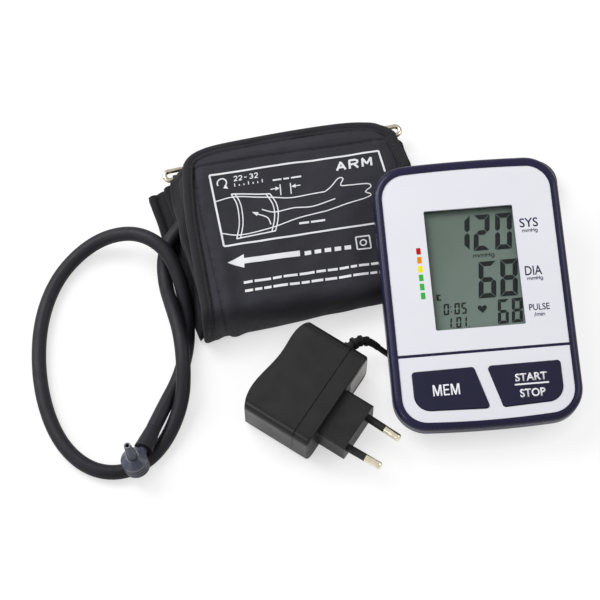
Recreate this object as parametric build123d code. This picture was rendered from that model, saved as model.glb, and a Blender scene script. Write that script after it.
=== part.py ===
"""Upper-arm blood pressure monitor set: tabletop unit, folded cuff with air hose, mains adapter.

Everything below is placed in the unit's own frame: millimetres, +Z up, zero on the table under the
middle of the unit's panel, +X to the unit's right and +Y away from the user.  Saving moves each
piece by ORIGIN, so that the finished part's zero is on the table in the middle of the whole set.
"""
import os
from math import cos, pi, radians, tan

from build123d import *

# ---------------------------------------------------------------- driving dimensions
ORIGIN = (-57.3, 13.6)              # middle of the set's footprint on the table

CASE_W, CASE_H = 95.3, 140.2        # outline of the unit's upper case
CASE_Y = 0.3                        # the outline's middle lies this far up the panel
CORNER_R = 17.0                     # its four plan corners
BOW_TOP, BOW_BOTTOM = 1.4, 2.0      # how far its far and near edges bow outwards
FACE_Z = 31.0                       # height of the middle of the face above the table
TILT = 7.3                          # the face rises towards the back, degrees
RIM = 4.3                           # width of the navy rim round the white plates
RIM_CROWN = 0.4                     # the rim stands this much proud of the plates
RIM_ROUND = 3.3                     # rounding of the rim's outer edge
RECESS_DROP = 0.8                   # the plates sit this much nearer the user than the outline's middle
WALL = 2.2                          # case wall
PLATE_T = 1.4                       # white face plates
DECK_T = 1.2                        # the deck under the plates
PARTING = 9.0                       # depth of the parting plane below the face
FOOT_H = 4.0                        # height of the rubber feet
BASE_W, BASE_Y0, BASE_Y1 = 68.0, -58.0, 47.0    # flat underside
BASE_R = 12.0

DIVIDER_Y = -30.8                   # the rib between display plate and key plate
DIVIDER_W = 1.3
GAP = 0.1                           # gap round a fitted plate
WINDOW_W, WINDOW_H = 45.5, 63.0
WINDOW_X, WINDOW_Y = 0.0, 12.8
LENS_W, LENS_H, LENS_T = 48.0, 66.0, 0.8
LCD_T = 2.2
BOARD_W, BOARD_Y0, BOARD_Y1 = 76.0, -62.0, 56.0
BOARD_TOP, BOARD_T = -6.6, 1.6      # height of the board's upper side below the face

KEY_TRAVEL = 0.8
KEY_PROUD = 0.6
KEY_GAP = 0.3
MEM_KEY = [(-37.0, -39.3), (-6.1, -39.0), (0.1, -60.3), (-37.0, -59.0)]
START_KEY = [(0.9, -39.1), (37.4, -38.9), (37.4, -59.0), (7.0, -60.3)]
KEY_OUTER_R, KEY_R = 8.0, 1.5       # the corner that follows the case, and the other three

POST_X, POST_R = 30.0, 3.2          # posts that the case screws go into
POST_YS = (-33.0, 39.5)
WELL_R, SCREW_R = 3.1, 1.2
FOOT_R = 4.5
FEET = ((-26.0, -50.5), (26.0, -50.5), (-19.0, 41.0), (19.0, 41.0))

CELL_R, CELL_L, CELLS = 5.25, 44.5, 4           # AAA cells, side by side
CELL_PITCH = 10.8
BAY_X, BAY_Y = 24.6, 22.2           # half sizes of the battery bay
BAY_CY, BAY_TOP = 10.0, 17.4
DOOR_T = 2.0
DOOR_GAP = 0.3

SOCKET_Y, SOCKET_Z = -22.0, 13.0    # air socket, in the right-hand wall
SOCKET_R, SOCKET_BORE_R, SOCKET_DEPTH = 5.0, 2.5, 10.0
JACK_Y = 12.0                       # power jack, in the same wall
JACK_HALF, JACK_BORE_R, JACK_PIN_R = (4.5, 5.0), 2.85, 1.05
PUMP_Y, PUMP_Z, PUMP_R = 43.0, 19.0, 8.0
SHAFT_R, SHAFT_GAP = 1.0, 0.05
VALVE_X, VALVE_Y, VALVE_Z = -22.0, -44.0, 10.8

HOSE_R = 3.75                       # rubber air hose
LEAD_R = 1.5                        # adapter lead
WIRE_R = 1.3                        # the cuff's wire ring

# the cuff, in plan, as it lies folded
NEAR_EDGE = ((-138.0, -5.5), (-45.0, 8.5))
FLAP_PLAN = [(-144.0, 86.0), (-135.5, 91.5), (-112.0, 100.0), (-80.0, 104.5), (-52.0, 106.5), (-38.6, 104.6),
             (-30.8, 100.5), (-25.5, 81.2), (-31.0, 74.2), (-41.0, 68.0), (-45.0, 50.0), (-45.0, -15.0),
             (-138.5, -15.0)]
BAND_PLAN = [(-139.2, 84.0), (-133.0, 87.5), (-111.0, 95.4), (-80.0, 99.8), (-53.0, 101.8), (-41.0, 100.2),
             (-35.2, 97.1), (-31.2, 82.0), (-34.5, 78.0), (-44.5, 71.0), (-49.7, 50.0), (-49.7, -20.0),
             (-133.6, -20.0)]
LOWER_PLAN = [(-162.7, 79.4), (-150.0, 84.8), (-110.0, 95.0), (-60.0, 102.5), (-27.2, 102.4),
              (-22.9, 85.0), (-29.5, 70.0), (-38.0, 60.0), (-40.5, 48.0), (-41.0, 18.0),
              (-90.0, 10.5), (-136.0, 3.8), (-142.0, 3.0)]
SECOND_PLAN = [(-155.0, 81.0), (-141.0, 85.6), (-100.0, 90.0), (-60.0, 95.0), (-32.0, 97.0),
               (-26.5, 84.0), (-33.0, 70.0), (-40.5, 60.0), (-41.5, 48.0), (-42.5, 18.0),
               (-90.0, 11.0), (-134.0, 5.0), (-141.0, 12.0), (-149.5, 56.0)]
INNER_PLAN = [(-140.0, 76.0), (-131.0, 82.0), (-100.0, 86.5), (-60.0, 92.0), (-44.0, 92.0),
              (-44.5, 18.0), (-90.0, 11.5), (-131.0, 6.0)]
UPPER_PLAN = [(-140.0, 76.0), (-137.0, 85.0), (-110.0, 89.0), (-70.0, 95.0), (-54.0, 96.5),
              (-54.0, 18.0), (-90.0, 12.5), (-131.0, 7.0)]
BLADDER_PLAN = [(-133.0, 75.0), (-50.0, 86.0), (-51.0, 24.0), (-127.0, 16.0)]
FLAP_T, FOLD_R, BINDING_T = 4.0, 9.0, 0.7
FLAP_LEFT_Z, FLAP_SLOPE_X, FLAP_SLOPE_Y = 34.0, -0.156, 0.03    # the flap's top face at x = -143, y = 76
LOWER_Z = (0.3, 4.6)
SECOND_Z = (4.9, 7.1)
LINING_Z = (7.3, 8.8)
BLADDER_Z = (9.0, 13.0)
PORT_R = 1.8

RING_LEFT, RING_RIGHT = (-150.5, 84.0, 13.6), (-29.4, 102.3, 9.2)    # ends of the bar in the sleeve
RING_WIDTH = 5.2                    # between the ring's two long bars
SLEEVE_R, SLEEVE_BORE_R, SLEEVE_SHORT = 3.0, 1.65, 1.5      # it stops short of each end of the bar

# the hose's route, from the cuff's port round its loop to the plug
HOSE_ROUTE = [(-141.9, 62.6, 11.2), (-151.1, 54.6, 10.8), (-157.3, 43.3, 8.0), (-157.4, 28.0, 5.6),
              (-154.2, 12.0, 12.6), (-151.1, -3.0, 15.6), (-150.4, -21.0, 15.4), (-152.4, -38.0, 9.6),
              (-161.0, -55.0, 4.2), (-172.5, -67.0, 4.0), (-187.5, -71.8, 4.0), (-202.5, -67.5, 4.0),
              (-215.0, -54.0, 4.0), (-222.5, -33.5, 4.0), (-225.0, -9.5, 4.0), (-222.5, 14.5, 4.0),
              (-214.5, 35.0, 4.0), (-202.0, 49.5, 4.6), (-186.5, 56.5, 9.6), (-169.5, 54.0, 17.4),
              (-155.6, 43.5, 18.8), (-149.0, 27.5, 14.4), (-146.9, 9.0, 5.6), (-148.2, -8.0, 4.0),
              (-153.9, -24.5, 4.0), (-162.2, -39.5, 7.2), (-168.3, -52.0, 10.2)]
HOSE_SWELL = 12.2                   # stretch of hose pushed over the plug's barb
PLUG_BASE = (-177.3, -70.3, 9.5)
PLUG_AXIS = (-0.14, 0.17, 0.975)
PLUG_R, PLUG_BODY, PLUG_DOME, PLUG_LENGTH = 6.6, 8.0, 11.0, 22.5
NIPPLE_BASE_R, NIPPLE_TIP_R, NIPPLE_BORE_R = 2.7, 1.7, 1.0
BARB_R = 2.2

ADAPTER_POS, ADAPTER_ANGLE = (-90.0, -37.0, 0.0), -38.0
ADAPTER_LEFT, ADAPTER_SEAM, ADAPTER_FRONT = -19.8, 11.0, 20.0   # along the pins
ADAPTER_NEAR, ADAPTER_FAR = -29.5, 27.0                         # across them
ADAPTER_H = 28.0
ADAPTER_WALL = 2.0
BLOCK_END, BLOCK_NEAR, BLOCK_FAR = 35.5, -20.0, 7.5
BLOCK_Z = (5.0, 22.5)
PIN_R, PIN_LENGTH, PIN_Z, PIN_SLEEVE = 2.0, 19.0, 14.0, 10.0
PIN_ROOTS = (2.8, -15.8)            # 18.6 mm apart at the root
PIN_CONVERGE = 0.55                 # each tip leans in by this much
RELIEF_X, RELIEF_Z = 7.5, 14.0

# the lead's route: out of the relief, under the unit between its feet, into the hank
LEAD_ROUTE = [(-51.3, -17.8, 10.2), (-45.6, -21.4, 6.2), (-38.8, -24.6, 2.6), (-30.0, -25.6, 1.5),
              (-19.0, -22.0, 1.5), (-10.0, -13.0, 1.5), (-4.5, 2.0, 1.5), (-3.0, 20.0, 1.5),
              (-1.0, 36.0, 1.5), (5.5, 48.5, 1.9), (16.0, 54.7, 2.4), (27.5, 56.3, 2.5)]
HANK_X, HANK_Y, HANK_Z = 14.0, 68.3, 1.0        # middle of the hank, and its lowest strand
HANK_RUN, HANK_FOLD_R = 50.0, 9.0               # straight run, innermost fold
HANK_COLUMNS, HANK_ROWS = 2, 3
TAIL_ROUTE = [(39.0, 77.3, 8.5), (31.5, 76.4, 8.4), (25.5, 73.2, 7.2), (20.0, 69.2, 6.0), (14.0, 68.6, 5.4)]
TIE_X, TIE_W, TIE_T = -2.0, 5.0, 0.6
DC_RELIEF, DC_GRIP, DC_BARREL = 9.0, 10.0, 9.5  # lengths along the small plug
DC_PLUG_R, DC_BARREL_R, DC_BORE_R = 4.2, 2.75, 1.05

os.makedirs("parts", exist_ok=True)
PANEL = Pos(0, 0, FACE_Z) * Rot(TILT, 0, 0)     # panel frame: z is the height above the face


# ---------------------------------------------------------------- helpers
def save(name, *shapes):
    """Write one node, moved into the part's frame; several solids make one compound."""
    centred = Pos(-ORIGIN[0], -ORIGIN[1], 0)
    solids = [centred * solid for shape in shapes for solid in shape.solids()]
    export_step(solids[0] if len(solids) == 1 else Compound(children=solids), f"parts/{name}.step")


def bowed_outline(width, depth, bow_top, bow_bottom, radius):
    """Rounded rectangle whose far and near edges are shallow arcs."""
    w, h = width / 2, depth / 2
    left = Line((-w, -h + bow_bottom), (-w, h - bow_top))
    top = ThreePointArc((-w, h - bow_top), (0, h), (w, h - bow_top))
    right = Line((w, h - bow_top), (w, -h + bow_bottom))
    bottom = ThreePointArc((w, -h + bow_bottom), (0, -h), (-w, -h + bow_bottom))
    face = make_face([left, top, right, bottom])
    return fillet(face.vertices(), radius)


def case_outline(inset=0.0):
    outline = bowed_outline(CASE_W - 2 * inset, CASE_H - 2 * inset, BOW_TOP, BOW_BOTTOM, CORNER_R - inset)
    return Pos(0, CASE_Y) * outline


def recess_outline(inset=0.0):
    """The shallow recess that the face plates lie in."""
    return Pos(0, -RECESS_DROP) * case_outline(RIM + inset)


def slab(sketch, low, high):
    """Prism of a plan sketch between two heights."""
    return extrude(Pos(0, 0, low) * sketch, high - low)


def block(x0, x1, y0, y1, z0, z1):
    """Box given by its limits."""
    return Pos((x0 + x1) / 2, (y0 + y1) / 2, (z0 + z1) / 2) * Box(x1 - x0, y1 - y0, z1 - z0)


def rod(start, end, radius, end_radius=None):
    """Round bar, or a cone, from one point to another."""
    start, end = Vector(*start), Vector(*end)
    length = (end - start).length
    plane = Plane(origin=start, z_dir=(end - start).normalized())
    if end_radius is None or end_radius == radius:
        solid = Cylinder(radius, length)
    else:
        solid = Cone(radius, end_radius, length)
    return plane * (Pos(0, 0, length / 2) * solid)


def rounded_polygon(points, radius):
    face = make_face(Polyline(*points, close=True))
    return fillet(face.vertices(), radius)


def tube(route, radius, label):
    """Round tube on straight runs joined by tangent arcs, each as large as its runs allow."""
    points = [Vector(*p) for p in route]
    radii = []
    for a, b, c in zip(points, points[1:], points[2:]):
        turn = (b - a).get_angle(c - b)
        radii.append(0.45 * min((b - a).length, (c - b).length) / tan(radians(turn) / 2))
    path = FilletPolyline(*points, radius=radii)
    profile = Plane(origin=points[0], z_dir=path % 0) * Circle(radius)
    solid = sweep(profile, path=path)
    ideal = pi * radius ** 2 * path.length
    print(f"{label}: length {path.length:.0f} mm, radii {min(radii):.0f} to {max(radii):.0f} mm,"
          f" volume / (section x length) {solid.volume / ideal:.4f}")
    return solid


# ---------------------------------------------------------------- the unit's case
def key_outline(points, outer_corner, grow=0.0):
    """A key's outline; one corner follows the case's rounding, and the others are small."""
    face = make_face(Polyline(*points, close=True))
    corner = face.vertices().sort_by_distance(Vector(*outer_corner, 0))[0]
    face = fillet(corner, KEY_OUTER_R)
    sharp = [v for v in face.vertices() if min((Vector(*p, 0) - Vector(v)).length for p in points) < 0.01]
    face = fillet(sharp, KEY_R)
    return offset(face, amount=grow, kind=Kind.ARC) if grow else face


def mem_outline(grow=0.0):
    return key_outline(MEM_KEY, MEM_KEY[3], grow)


def start_outline(grow=0.0):
    return key_outline(START_KEY, START_KEY[2], grow)


def window(width, height, radius=0.8):
    return Pos(WINDOW_X, WINDOW_Y) * RectangleRounded(width, height, radius)


def outer_hull():
    """Outside of the lower case: walls lean in from the parting plane to the flat underside."""
    rim = PANEL * (Pos(0, 0, -PARTING) * case_outline())
    base = Pos(0, (BASE_Y0 + BASE_Y1) / 2, FOOT_H) * bowed_outline(BASE_W, BASE_Y1 - BASE_Y0, 1, 1, BASE_R)
    return loft([base, rim])


def inner_hull():
    """The hollow inside the lower case, open at the top."""
    rim = PANEL * (Pos(0, 0, -PARTING) * case_outline(WALL))
    base = (Pos(0, (BASE_Y0 + BASE_Y1) / 2, FOOT_H + WALL)
            * bowed_outline(BASE_W - 2 * WALL, BASE_Y1 - BASE_Y0 - 2 * WALL, 1, 1, BASE_R - WALL))
    return loft([base, rim])


def post_places():
    return [(side * POST_X, y) for side in (-1, 1) for y in POST_YS]


def deck_height(y):
    """Height of the middle of the deck above the table."""
    return FACE_Z + y * tan(radians(TILT)) - (PLATE_T + DECK_T / 2) / cos(radians(TILT))


def upper_case():
    deck_low = -PLATE_T - DECK_T
    body = slab(case_outline(), -PARTING, RIM_CROWN)
    top_edges = body.faces().sort_by(Axis.Z)[-1].edges()
    body = fillet(top_edges, RIM_ROUND)
    body -= slab(case_outline(WALL), -PARTING, deck_low)
    recess = slab(recess_outline(), -PLATE_T, RIM_CROWN + 1)
    recess -= block(-CASE_W, CASE_W, DIVIDER_Y - DIVIDER_W / 2, DIVIDER_Y + DIVIDER_W / 2, -PLATE_T, 0)
    body -= recess
    body -= slab(window(WINDOW_W, WINDOW_H), deck_low - 1, 0)
    for outline in (mem_outline(KEY_GAP), start_outline(KEY_GAP)):
        body -= slab(outline, deck_low - 1, 0)
    for side in (-1, 1):
        for y in (28.0, -24.0):
            body += Pos(side * 34.5, y, (deck_low + BOARD_TOP) / 2) * Cylinder(2.4, deck_low - BOARD_TOP)
            body -= Pos(side * 34.5, y, BOARD_TOP + 1.25) * Cylinder(0.9, 2.5)
    body = PANEL * body
    for x, y in post_places():
        body += rod((x, y, 11.1), (x, y, deck_height(y)), POST_R)
        body -= rod((x, y, 11.0), (x, y, 18.0), SCREW_R)
    return body


def battery_bay():
    return block(-BAY_X, BAY_X, BAY_CY - BAY_Y, BAY_CY + BAY_Y, FOOT_H - 1, BAY_TOP)


def door_box(gap=0.0):
    return block(-BAY_X - 2.6 - gap, 60, BAY_CY - BAY_Y - 2 - gap, BAY_CY + BAY_Y + 2 + gap, FOOT_H - 1,
                 FOOT_H + DOOR_T + gap)


def jack_block(x0, x1):
    wide, high = JACK_HALF
    return block(x0, x1, JACK_Y - wide, JACK_Y + wide, SOCKET_Z - high, SOCKET_Z + high)


def lower_case(hull):
    body = hull - inner_hull()
    housing = block(-BAY_X - 1.4, BAY_X + 1.4, BAY_CY - BAY_Y - 1.4, BAY_CY + BAY_Y + 1.4, FOOT_H, BAY_TOP + 1.3)
    shelf = block(-BAY_X - 4.0, 60, BAY_CY - BAY_Y - 3.6, BAY_CY + BAY_Y + 3.6, FOOT_H, FOOT_H + DOOR_T + 1.8)
    body += housing + (shelf & hull)
    body -= battery_bay()
    body -= door_box(DOOR_GAP)
    for x, y in post_places():
        body += rod((x, y, FOOT_H), (x, y, 11.0), POST_R + 1.0) & hull
        body -= rod((x, y, FOOT_H - 1), (x, y, 8.0), WELL_R)
        body -= rod((x, y, 7.0), (x, y, 12.0), SCREW_R + 0.3)
    for x, y in FEET:
        body -= rod((x, y, FOOT_H - 1), (x, y, FOOT_H + 1.2), FOOT_R - 0.8)
    for x in (-12.0, 12.0):
        saddle = block(x - 1.5, x + 1.5, PUMP_Y - 6, PUMP_Y + 6, FOOT_H, PUMP_Z - 3)
        body += (saddle & hull) - rod((x - 3, PUMP_Y, PUMP_Z), (x + 3, PUMP_Y, PUMP_Z), PUMP_R)
    body -= rod((30, SOCKET_Y, SOCKET_Z), (60, SOCKET_Y, SOCKET_Z), SOCKET_R)
    body -= jack_block(29, 60)
    return body


def face_plates():
    plates = slab(recess_outline(GAP), -PLATE_T, 0)
    split = DIVIDER_W / 2 + GAP
    display = plates & block(-60, 60, DIVIDER_Y + split, 80, -5, 5)
    display -= slab(window(WINDOW_W, WINDOW_H), -5, 5)
    keys = plates & block(-60, 60, -80, DIVIDER_Y - split, -5, 5)
    for outline in (mem_outline(KEY_GAP), start_outline(KEY_GAP)):
        keys -= slab(outline, -5, 5)
    save("display_plate", PANEL * display)
    save("key_plate", PANEL * keys)


def keys():
    """Keys with a flange under the deck, a stem, and a rubber dome on the board under each."""
    deck_low = -PLATE_T - DECK_T
    flange_top = deck_low - 0.3
    for name, outline, x in (("mem_button", mem_outline, -20.0), ("start_stop_button", start_outline, 21.0)):
        cap = slab(outline(), flange_top, KEY_PROUD)
        cap = fillet(cap.faces().sort_by(Axis.Z)[-1].edges(), 0.4)
        cap += slab(outline(1.1), flange_top - 1.0, flange_top)
        stem_top = flange_top - 1.0
        stem_low = BOARD_TOP + 1.1
        cap += Pos(x, -50.0, (stem_top + stem_low) / 2) * Cylinder(2.2, stem_top - stem_low)
        save(name, PANEL * cap)
        dome = Pos(x, -50.0, BOARD_TOP + 0.55) * Cone(4.0, 2.6, 1.1)
        save(name.replace("button", "dome"), PANEL * dome)


def display():
    """Lens, liquid-crystal cell, its frame and the rubber strip that connects it to the board."""
    lens_top = -PLATE_T - DECK_T
    lcd_top = lens_top - LENS_T - 0.1
    lcd_low = lcd_top - LCD_T
    save("window_lens", PANEL * slab(window(LENS_W, LENS_H), lens_top - LENS_T, lens_top))
    save("lcd_cell", PANEL * slab(window(LENS_W, LENS_H, 0.3), lcd_low, lcd_top))
    frame = slab(window(LENS_W + 2.8, LENS_H + 2.8), BOARD_TOP, lens_top)
    frame -= slab(window(LENS_W + 0.3, LENS_H + 0.3), BOARD_TOP - 1, lens_top + 1)
    save("lcd_frame", PANEL * frame)
    strip_y = WINDOW_Y - LENS_H / 2 + 3
    save("lcd_connector", PANEL * block(WINDOW_X - 20, WINDOW_X + 20, strip_y - 1.2, strip_y + 1.2, BOARD_TOP, lcd_low))


def board():
    middle = (BOARD_Y0 + BOARD_Y1) / 2
    sketch = Pos(0, middle) * RectangleRounded(BOARD_W, BOARD_Y1 - BOARD_Y0, 8)
    plate = slab(sketch, BOARD_TOP - BOARD_T, BOARD_TOP)
    screws = []
    for side in (-1, 1):
        for y in (28.0, -24.0):
            x = side * 34.5
            plate -= Pos(x, y, BOARD_TOP) * Cylinder(1.1, 8)
            head = Pos(x, y, BOARD_TOP - BOARD_T - 0.6) * Cylinder(2.0, 1.2)
            screws.append(PANEL * (head + Pos(x, y, BOARD_TOP + 0.3) * Cylinder(0.9, 3.8)))
    plate = PANEL * plate
    for x, y in post_places():
        plate -= rod((x, y, 5), (x, y, 40), POST_R + 0.6)
    save("main_board", plate)
    save("board_screws", *screws)
    under = BOARD_TOP - BOARD_T
    save("controller_chip", PANEL * block(-6, 6, -40, -28, under - 1.4, under))
    sensor = block(6, 16, -52, -42, under - 3.4, under) + Pos(11, -47, under - 4.4) * Cylinder(1.3, 2.0)
    save("pressure_sensor", PANEL * sensor)
    save("buzzer", PANEL * (Pos(25, -48, under - 2.0) * Cylinder(6.0, 4.0)))


def power_and_air():
    """Batteries and contacts, door, air socket and power jack."""
    cells, plates, springs = [], [], []
    for i in range(CELLS):
        y = BAY_CY + (i - (CELLS - 1) / 2) * CELL_PITCH
        turn = 1 if i % 2 else -1
        z = FOOT_H + DOOR_T + 0.4 + CELL_R
        cell = rod((-turn * 20.6, y, z), (turn * 22.2, y, z), CELL_R) + rod((turn * 22.2, y, z), (turn * 23.2, y, z), 1.9)
        cells.append(cell)
        plates.append(block(24.1, 24.6, y - 4, y + 4, z - 4, z + 4))
        plates.append(block(-24.6, -24.1, y - 4, y + 4, z - 4, z + 4))
        springs.append(rod((-turn * 24.1, y, z), (-turn * 20.6, y, z), 3.4, 1.8))
    save("batteries", *cells)
    save("battery_contact_plates", *plates)
    save("battery_springs", *springs)


def battery_door(hull):
    door = hull & door_box()
    for i in range(3):
        groove = 27.5 + 2.0 * i
        door -= block(groove - 0.4, groove + 0.4, BAY_CY - 8, BAY_CY + 8, FOOT_H - 1, FOOT_H + 0.6)
    save("battery_door", door)


def sockets():
    """Air socket with its spigot, and the coaxial power jack, both in the right-hand wall."""
    mouth = 41.4
    socket = rod((30.0, SOCKET_Y, SOCKET_Z), (mouth, SOCKET_Y, SOCKET_Z), SOCKET_R)
    socket += rod((25.0, SOCKET_Y, SOCKET_Z), (30.0, SOCKET_Y, SOCKET_Z), 1.8)
    socket -= rod((mouth - SOCKET_DEPTH, SOCKET_Y, SOCKET_Z), (mouth + 1, SOCKET_Y, SOCKET_Z), SOCKET_BORE_R)
    socket -= rod((24.0, SOCKET_Y, SOCKET_Z), (mouth, SOCKET_Y, SOCKET_Z), 0.8)
    save("air_socket", socket)
    jack = jack_block(29.0, 40.6) - rod((31.0, JACK_Y, SOCKET_Z), (42.0, JACK_Y, SOCKET_Z), JACK_BORE_R)
    save("power_jack", jack + rod((30.5, JACK_Y, SOCKET_Z), (39.6, JACK_Y, SOCKET_Z), JACK_PIN_R))


def pump_and_valve():
    """Rolling pump: motor, head with an eccentric that turns, and its diaphragm; then the release valve."""
    axis = lambda x: (x, PUMP_Y, PUMP_Z)
    motor = rod(axis(-2.6), axis(21.0), PUMP_R) - rod(axis(-3), axis(6), SHAFT_R + SHAFT_GAP)
    save("pump_motor", motor)
    head = rod(axis(-21.0), axis(-2.6), PUMP_R) - rod(axis(-19.0), axis(-4.0), PUMP_R - 1.6)
    head -= rod(axis(-5), axis(-2), SHAFT_R + SHAFT_GAP)
    head += rod(axis(-25.0), axis(-21.0), 1.8)
    head -= rod(axis(-26.0), axis(-18.0), 0.8)
    save("pump_head", head)
    crank = rod((-8.0, PUMP_Y, PUMP_Z), (-5.5, PUMP_Y, PUMP_Z), 4.0)
    crank = Pos(0, 0, 1.2) * crank
    crank += rod(axis(-7.0), axis(5.5), SHAFT_R)
    save("pump_eccentric", crank)
    save("pump_diaphragm", rod(axis(-13.0), axis(-9.5), PUMP_R - 1.9))

    x0, x1 = VALVE_X - 7.0, VALVE_X + 7.0               # release valve: a plunger in a coil block
    body = block(x0, x1, VALVE_Y - 5, VALVE_Y + 5, VALVE_Z - 4.6, VALVE_Z + 4.6)
    body -= rod((VALVE_X - 4.6, VALVE_Y, VALVE_Z), (x1 + 1, VALVE_Y, VALVE_Z), 2.2)
    body += rod((x0 - 3.0, VALVE_Y, VALVE_Z), (x0, VALVE_Y, VALVE_Z), 1.5)
    save("valve_body", body)
    plunger = rod((VALVE_X - 3.4, VALVE_Y, VALVE_Z), (x1 + 2.0, VALVE_Y, VALVE_Z), 2.14)
    save("valve_plunger", plunger)

    save("air_manifold", block(-14, -4, -30, -20, FOOT_H + WALL, 15.0))
    to_pump = [(-25, PUMP_Y, PUMP_Z), (-30.5, PUMP_Y + 2.6, PUMP_Z), (-35.8, 42.5, 18.8), (-37.3, 34, 18.2),
               (-36.8, 7, 17.4), (-35, -11, 14.6), (-28, -21.5, 12.4), (-14, -25, 12)]
    to_socket = [(-4, -25, 12), (6, -25, 12.4), (15, -22.6, 12.9), (25, SOCKET_Y, SOCKET_Z)]
    save("air_tubes", tube(to_pump, 1.8, "pump tube"), tube(to_socket, 1.8, "socket tube"))


def fasteners_and_feet():
    screws, feet = [], []
    for x, y in post_places():
        screws.append(rod((x, y, 6.5), (x, y, 8.0), WELL_R - 0.3) + rod((x, y, 7.5), (x, y, 17.5), SCREW_R))
    for x, y in FEET:
        foot = rod((x, y, 0), (x, y, FOOT_H), FOOT_R) + rod((x, y, FOOT_H), (x, y, FOOT_H + 1.2), FOOT_R - 0.8)
        feet.append(foot)
    save("case_screws", *screws)
    save("rubber_feet", *feet)


# ---------------------------------------------------------------- the cuff
def flap_height(x, y):
    return FLAP_LEFT_Z + FLAP_SLOPE_X * (x + 143.0) + FLAP_SLOPE_Y * (y - 76.0)


def near_edge(x):
    """Y of the folded near edge."""
    (x0, y0), (x1, y1) = NEAR_EDGE
    return y0 + (y1 - y0) * (x - x0) / (x1 - x0)


def flap_section(x, low, high):
    """Section of the flap at one x: up from the table round the near fold, then flat to the far edge."""
    y = near_edge(x)
    rise = flap_height(x, y + FOLD_R)
    far = 120.0

    def line(lift):
        foot = (x, y + 3.0 - lift, 0.3)
        bulge = (x, y - lift, 0.4 * rise)
        crest = (x, y + FOLD_R, rise + lift)
        end = (x, far, flap_height(x, far) + lift)
        return foot, bulge, crest, end

    outer, inner = line(high), line(low)
    edges = [ThreePointArc(*outer[:3]), Line(outer[2], outer[3]), Line(outer[3], inner[3]),
             Line(inner[3], inner[2]), ThreePointArc(inner[2], inner[1], inner[0]), Line(inner[0], outer[0])]
    return make_face(edges)


def flap_sheet(low, high):
    """The folded sheet between two offsets from the flap's outside."""
    return loft([flap_section(-165.0, low, high), flap_section(-20.0, low, high)])


def under_flap(drop):
    """Everything below the flap's top face, lowered by drop."""
    faces = []
    for y in (-40.0, 140.0):
        left, right = -180.0, 0.0
        corners = [(left, y, -5), (right, y, -5), (right, y, flap_height(right, y) - drop),
                   (left, y, flap_height(left, y) - drop)]
        faces.append(make_face(Polyline(*corners, close=True)))
    return loft(faces)


def cuff():
    """Folded cuff: a bound flap on top that turns down at the near edge, and the layers under it."""
    flap_plan = rounded_polygon(FLAP_PLAN, 3.0)
    save("cuff_flap", flap_sheet(-FLAP_T, 0) & slab(flap_plan, 0, 60))
    band = flap_plan - rounded_polygon(BAND_PLAN, 2.0)
    save("cuff_binding", flap_sheet(0, BINDING_T) & slab(band, 0, 60))

    save("cuff_lower_layer", slab(rounded_polygon(LOWER_PLAN, 3.0), *LOWER_Z))
    save("cuff_second_layer", slab(rounded_polygon(SECOND_PLAN, 3.0), *SECOND_Z))
    inner = rounded_polygon(INNER_PLAN, 3.0)
    save("cuff_lining", slab(inner, *LINING_Z))
    bladder_plan = rounded_polygon(BLADDER_PLAN, 6.0)
    save("cuff_bladder", slab(bladder_plan, *BLADDER_Z))
    mouth = Vector(*HOSE_ROUTE[0])
    out = (Vector(*HOSE_ROUTE[1]) - mouth).normalized()
    save("bladder_port", rod(mouth - out * 12, mouth, PORT_R))

    # the layer above the bladder ends in a sewn sleeve round the ring's near bar
    bar_left, bar_right = Vector(*RING_LEFT), Vector(*RING_RIGHT)
    along = (bar_right - bar_left).normalized()
    sleeve_start, sleeve_end = bar_left + along * SLEEVE_SHORT, bar_right - along * SLEEVE_SHORT
    upper = slab(rounded_polygon(UPPER_PLAN, 2.0), BLADDER_Z[1] + 0.3, 60) & under_flap(FLAP_T + 0.3)
    upper += rod(sleeve_start, sleeve_end, SLEEVE_R)
    upper -= rod(bar_left, bar_right, SLEEVE_BORE_R)
    save("cuff_upper_layer", upper)
    save("cuff_ring", wire_ring(bar_left, bar_right))


def wire_ring(left, right):
    """Closed wire loop: two long bars joined by half circles; the near bar runs through the sleeve."""
    length = (right - left).length
    plane = Plane(origin=left, x_dir=right - left, z_dir=Vector(0, 0, 1).cross(right - left).cross(right - left) * -1)
    r = RING_WIDTH / 2
    ring = rod((0, 0, 0), (length, 0, 0), WIRE_R) + rod((0, RING_WIDTH, 0), (length, RING_WIDTH, 0), WIRE_R)
    for x, side in ((0, -1), (length, 1)):
        arc = ThreePointArc((x, 0, 0), (x + side * r, r, 0), (x, RING_WIDTH, 0))
        ring += sweep(Plane(origin=(x, 0, 0), z_dir=(side, 0, 0)) * Circle(WIRE_R), path=arc)
    return plane * ring


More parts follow.
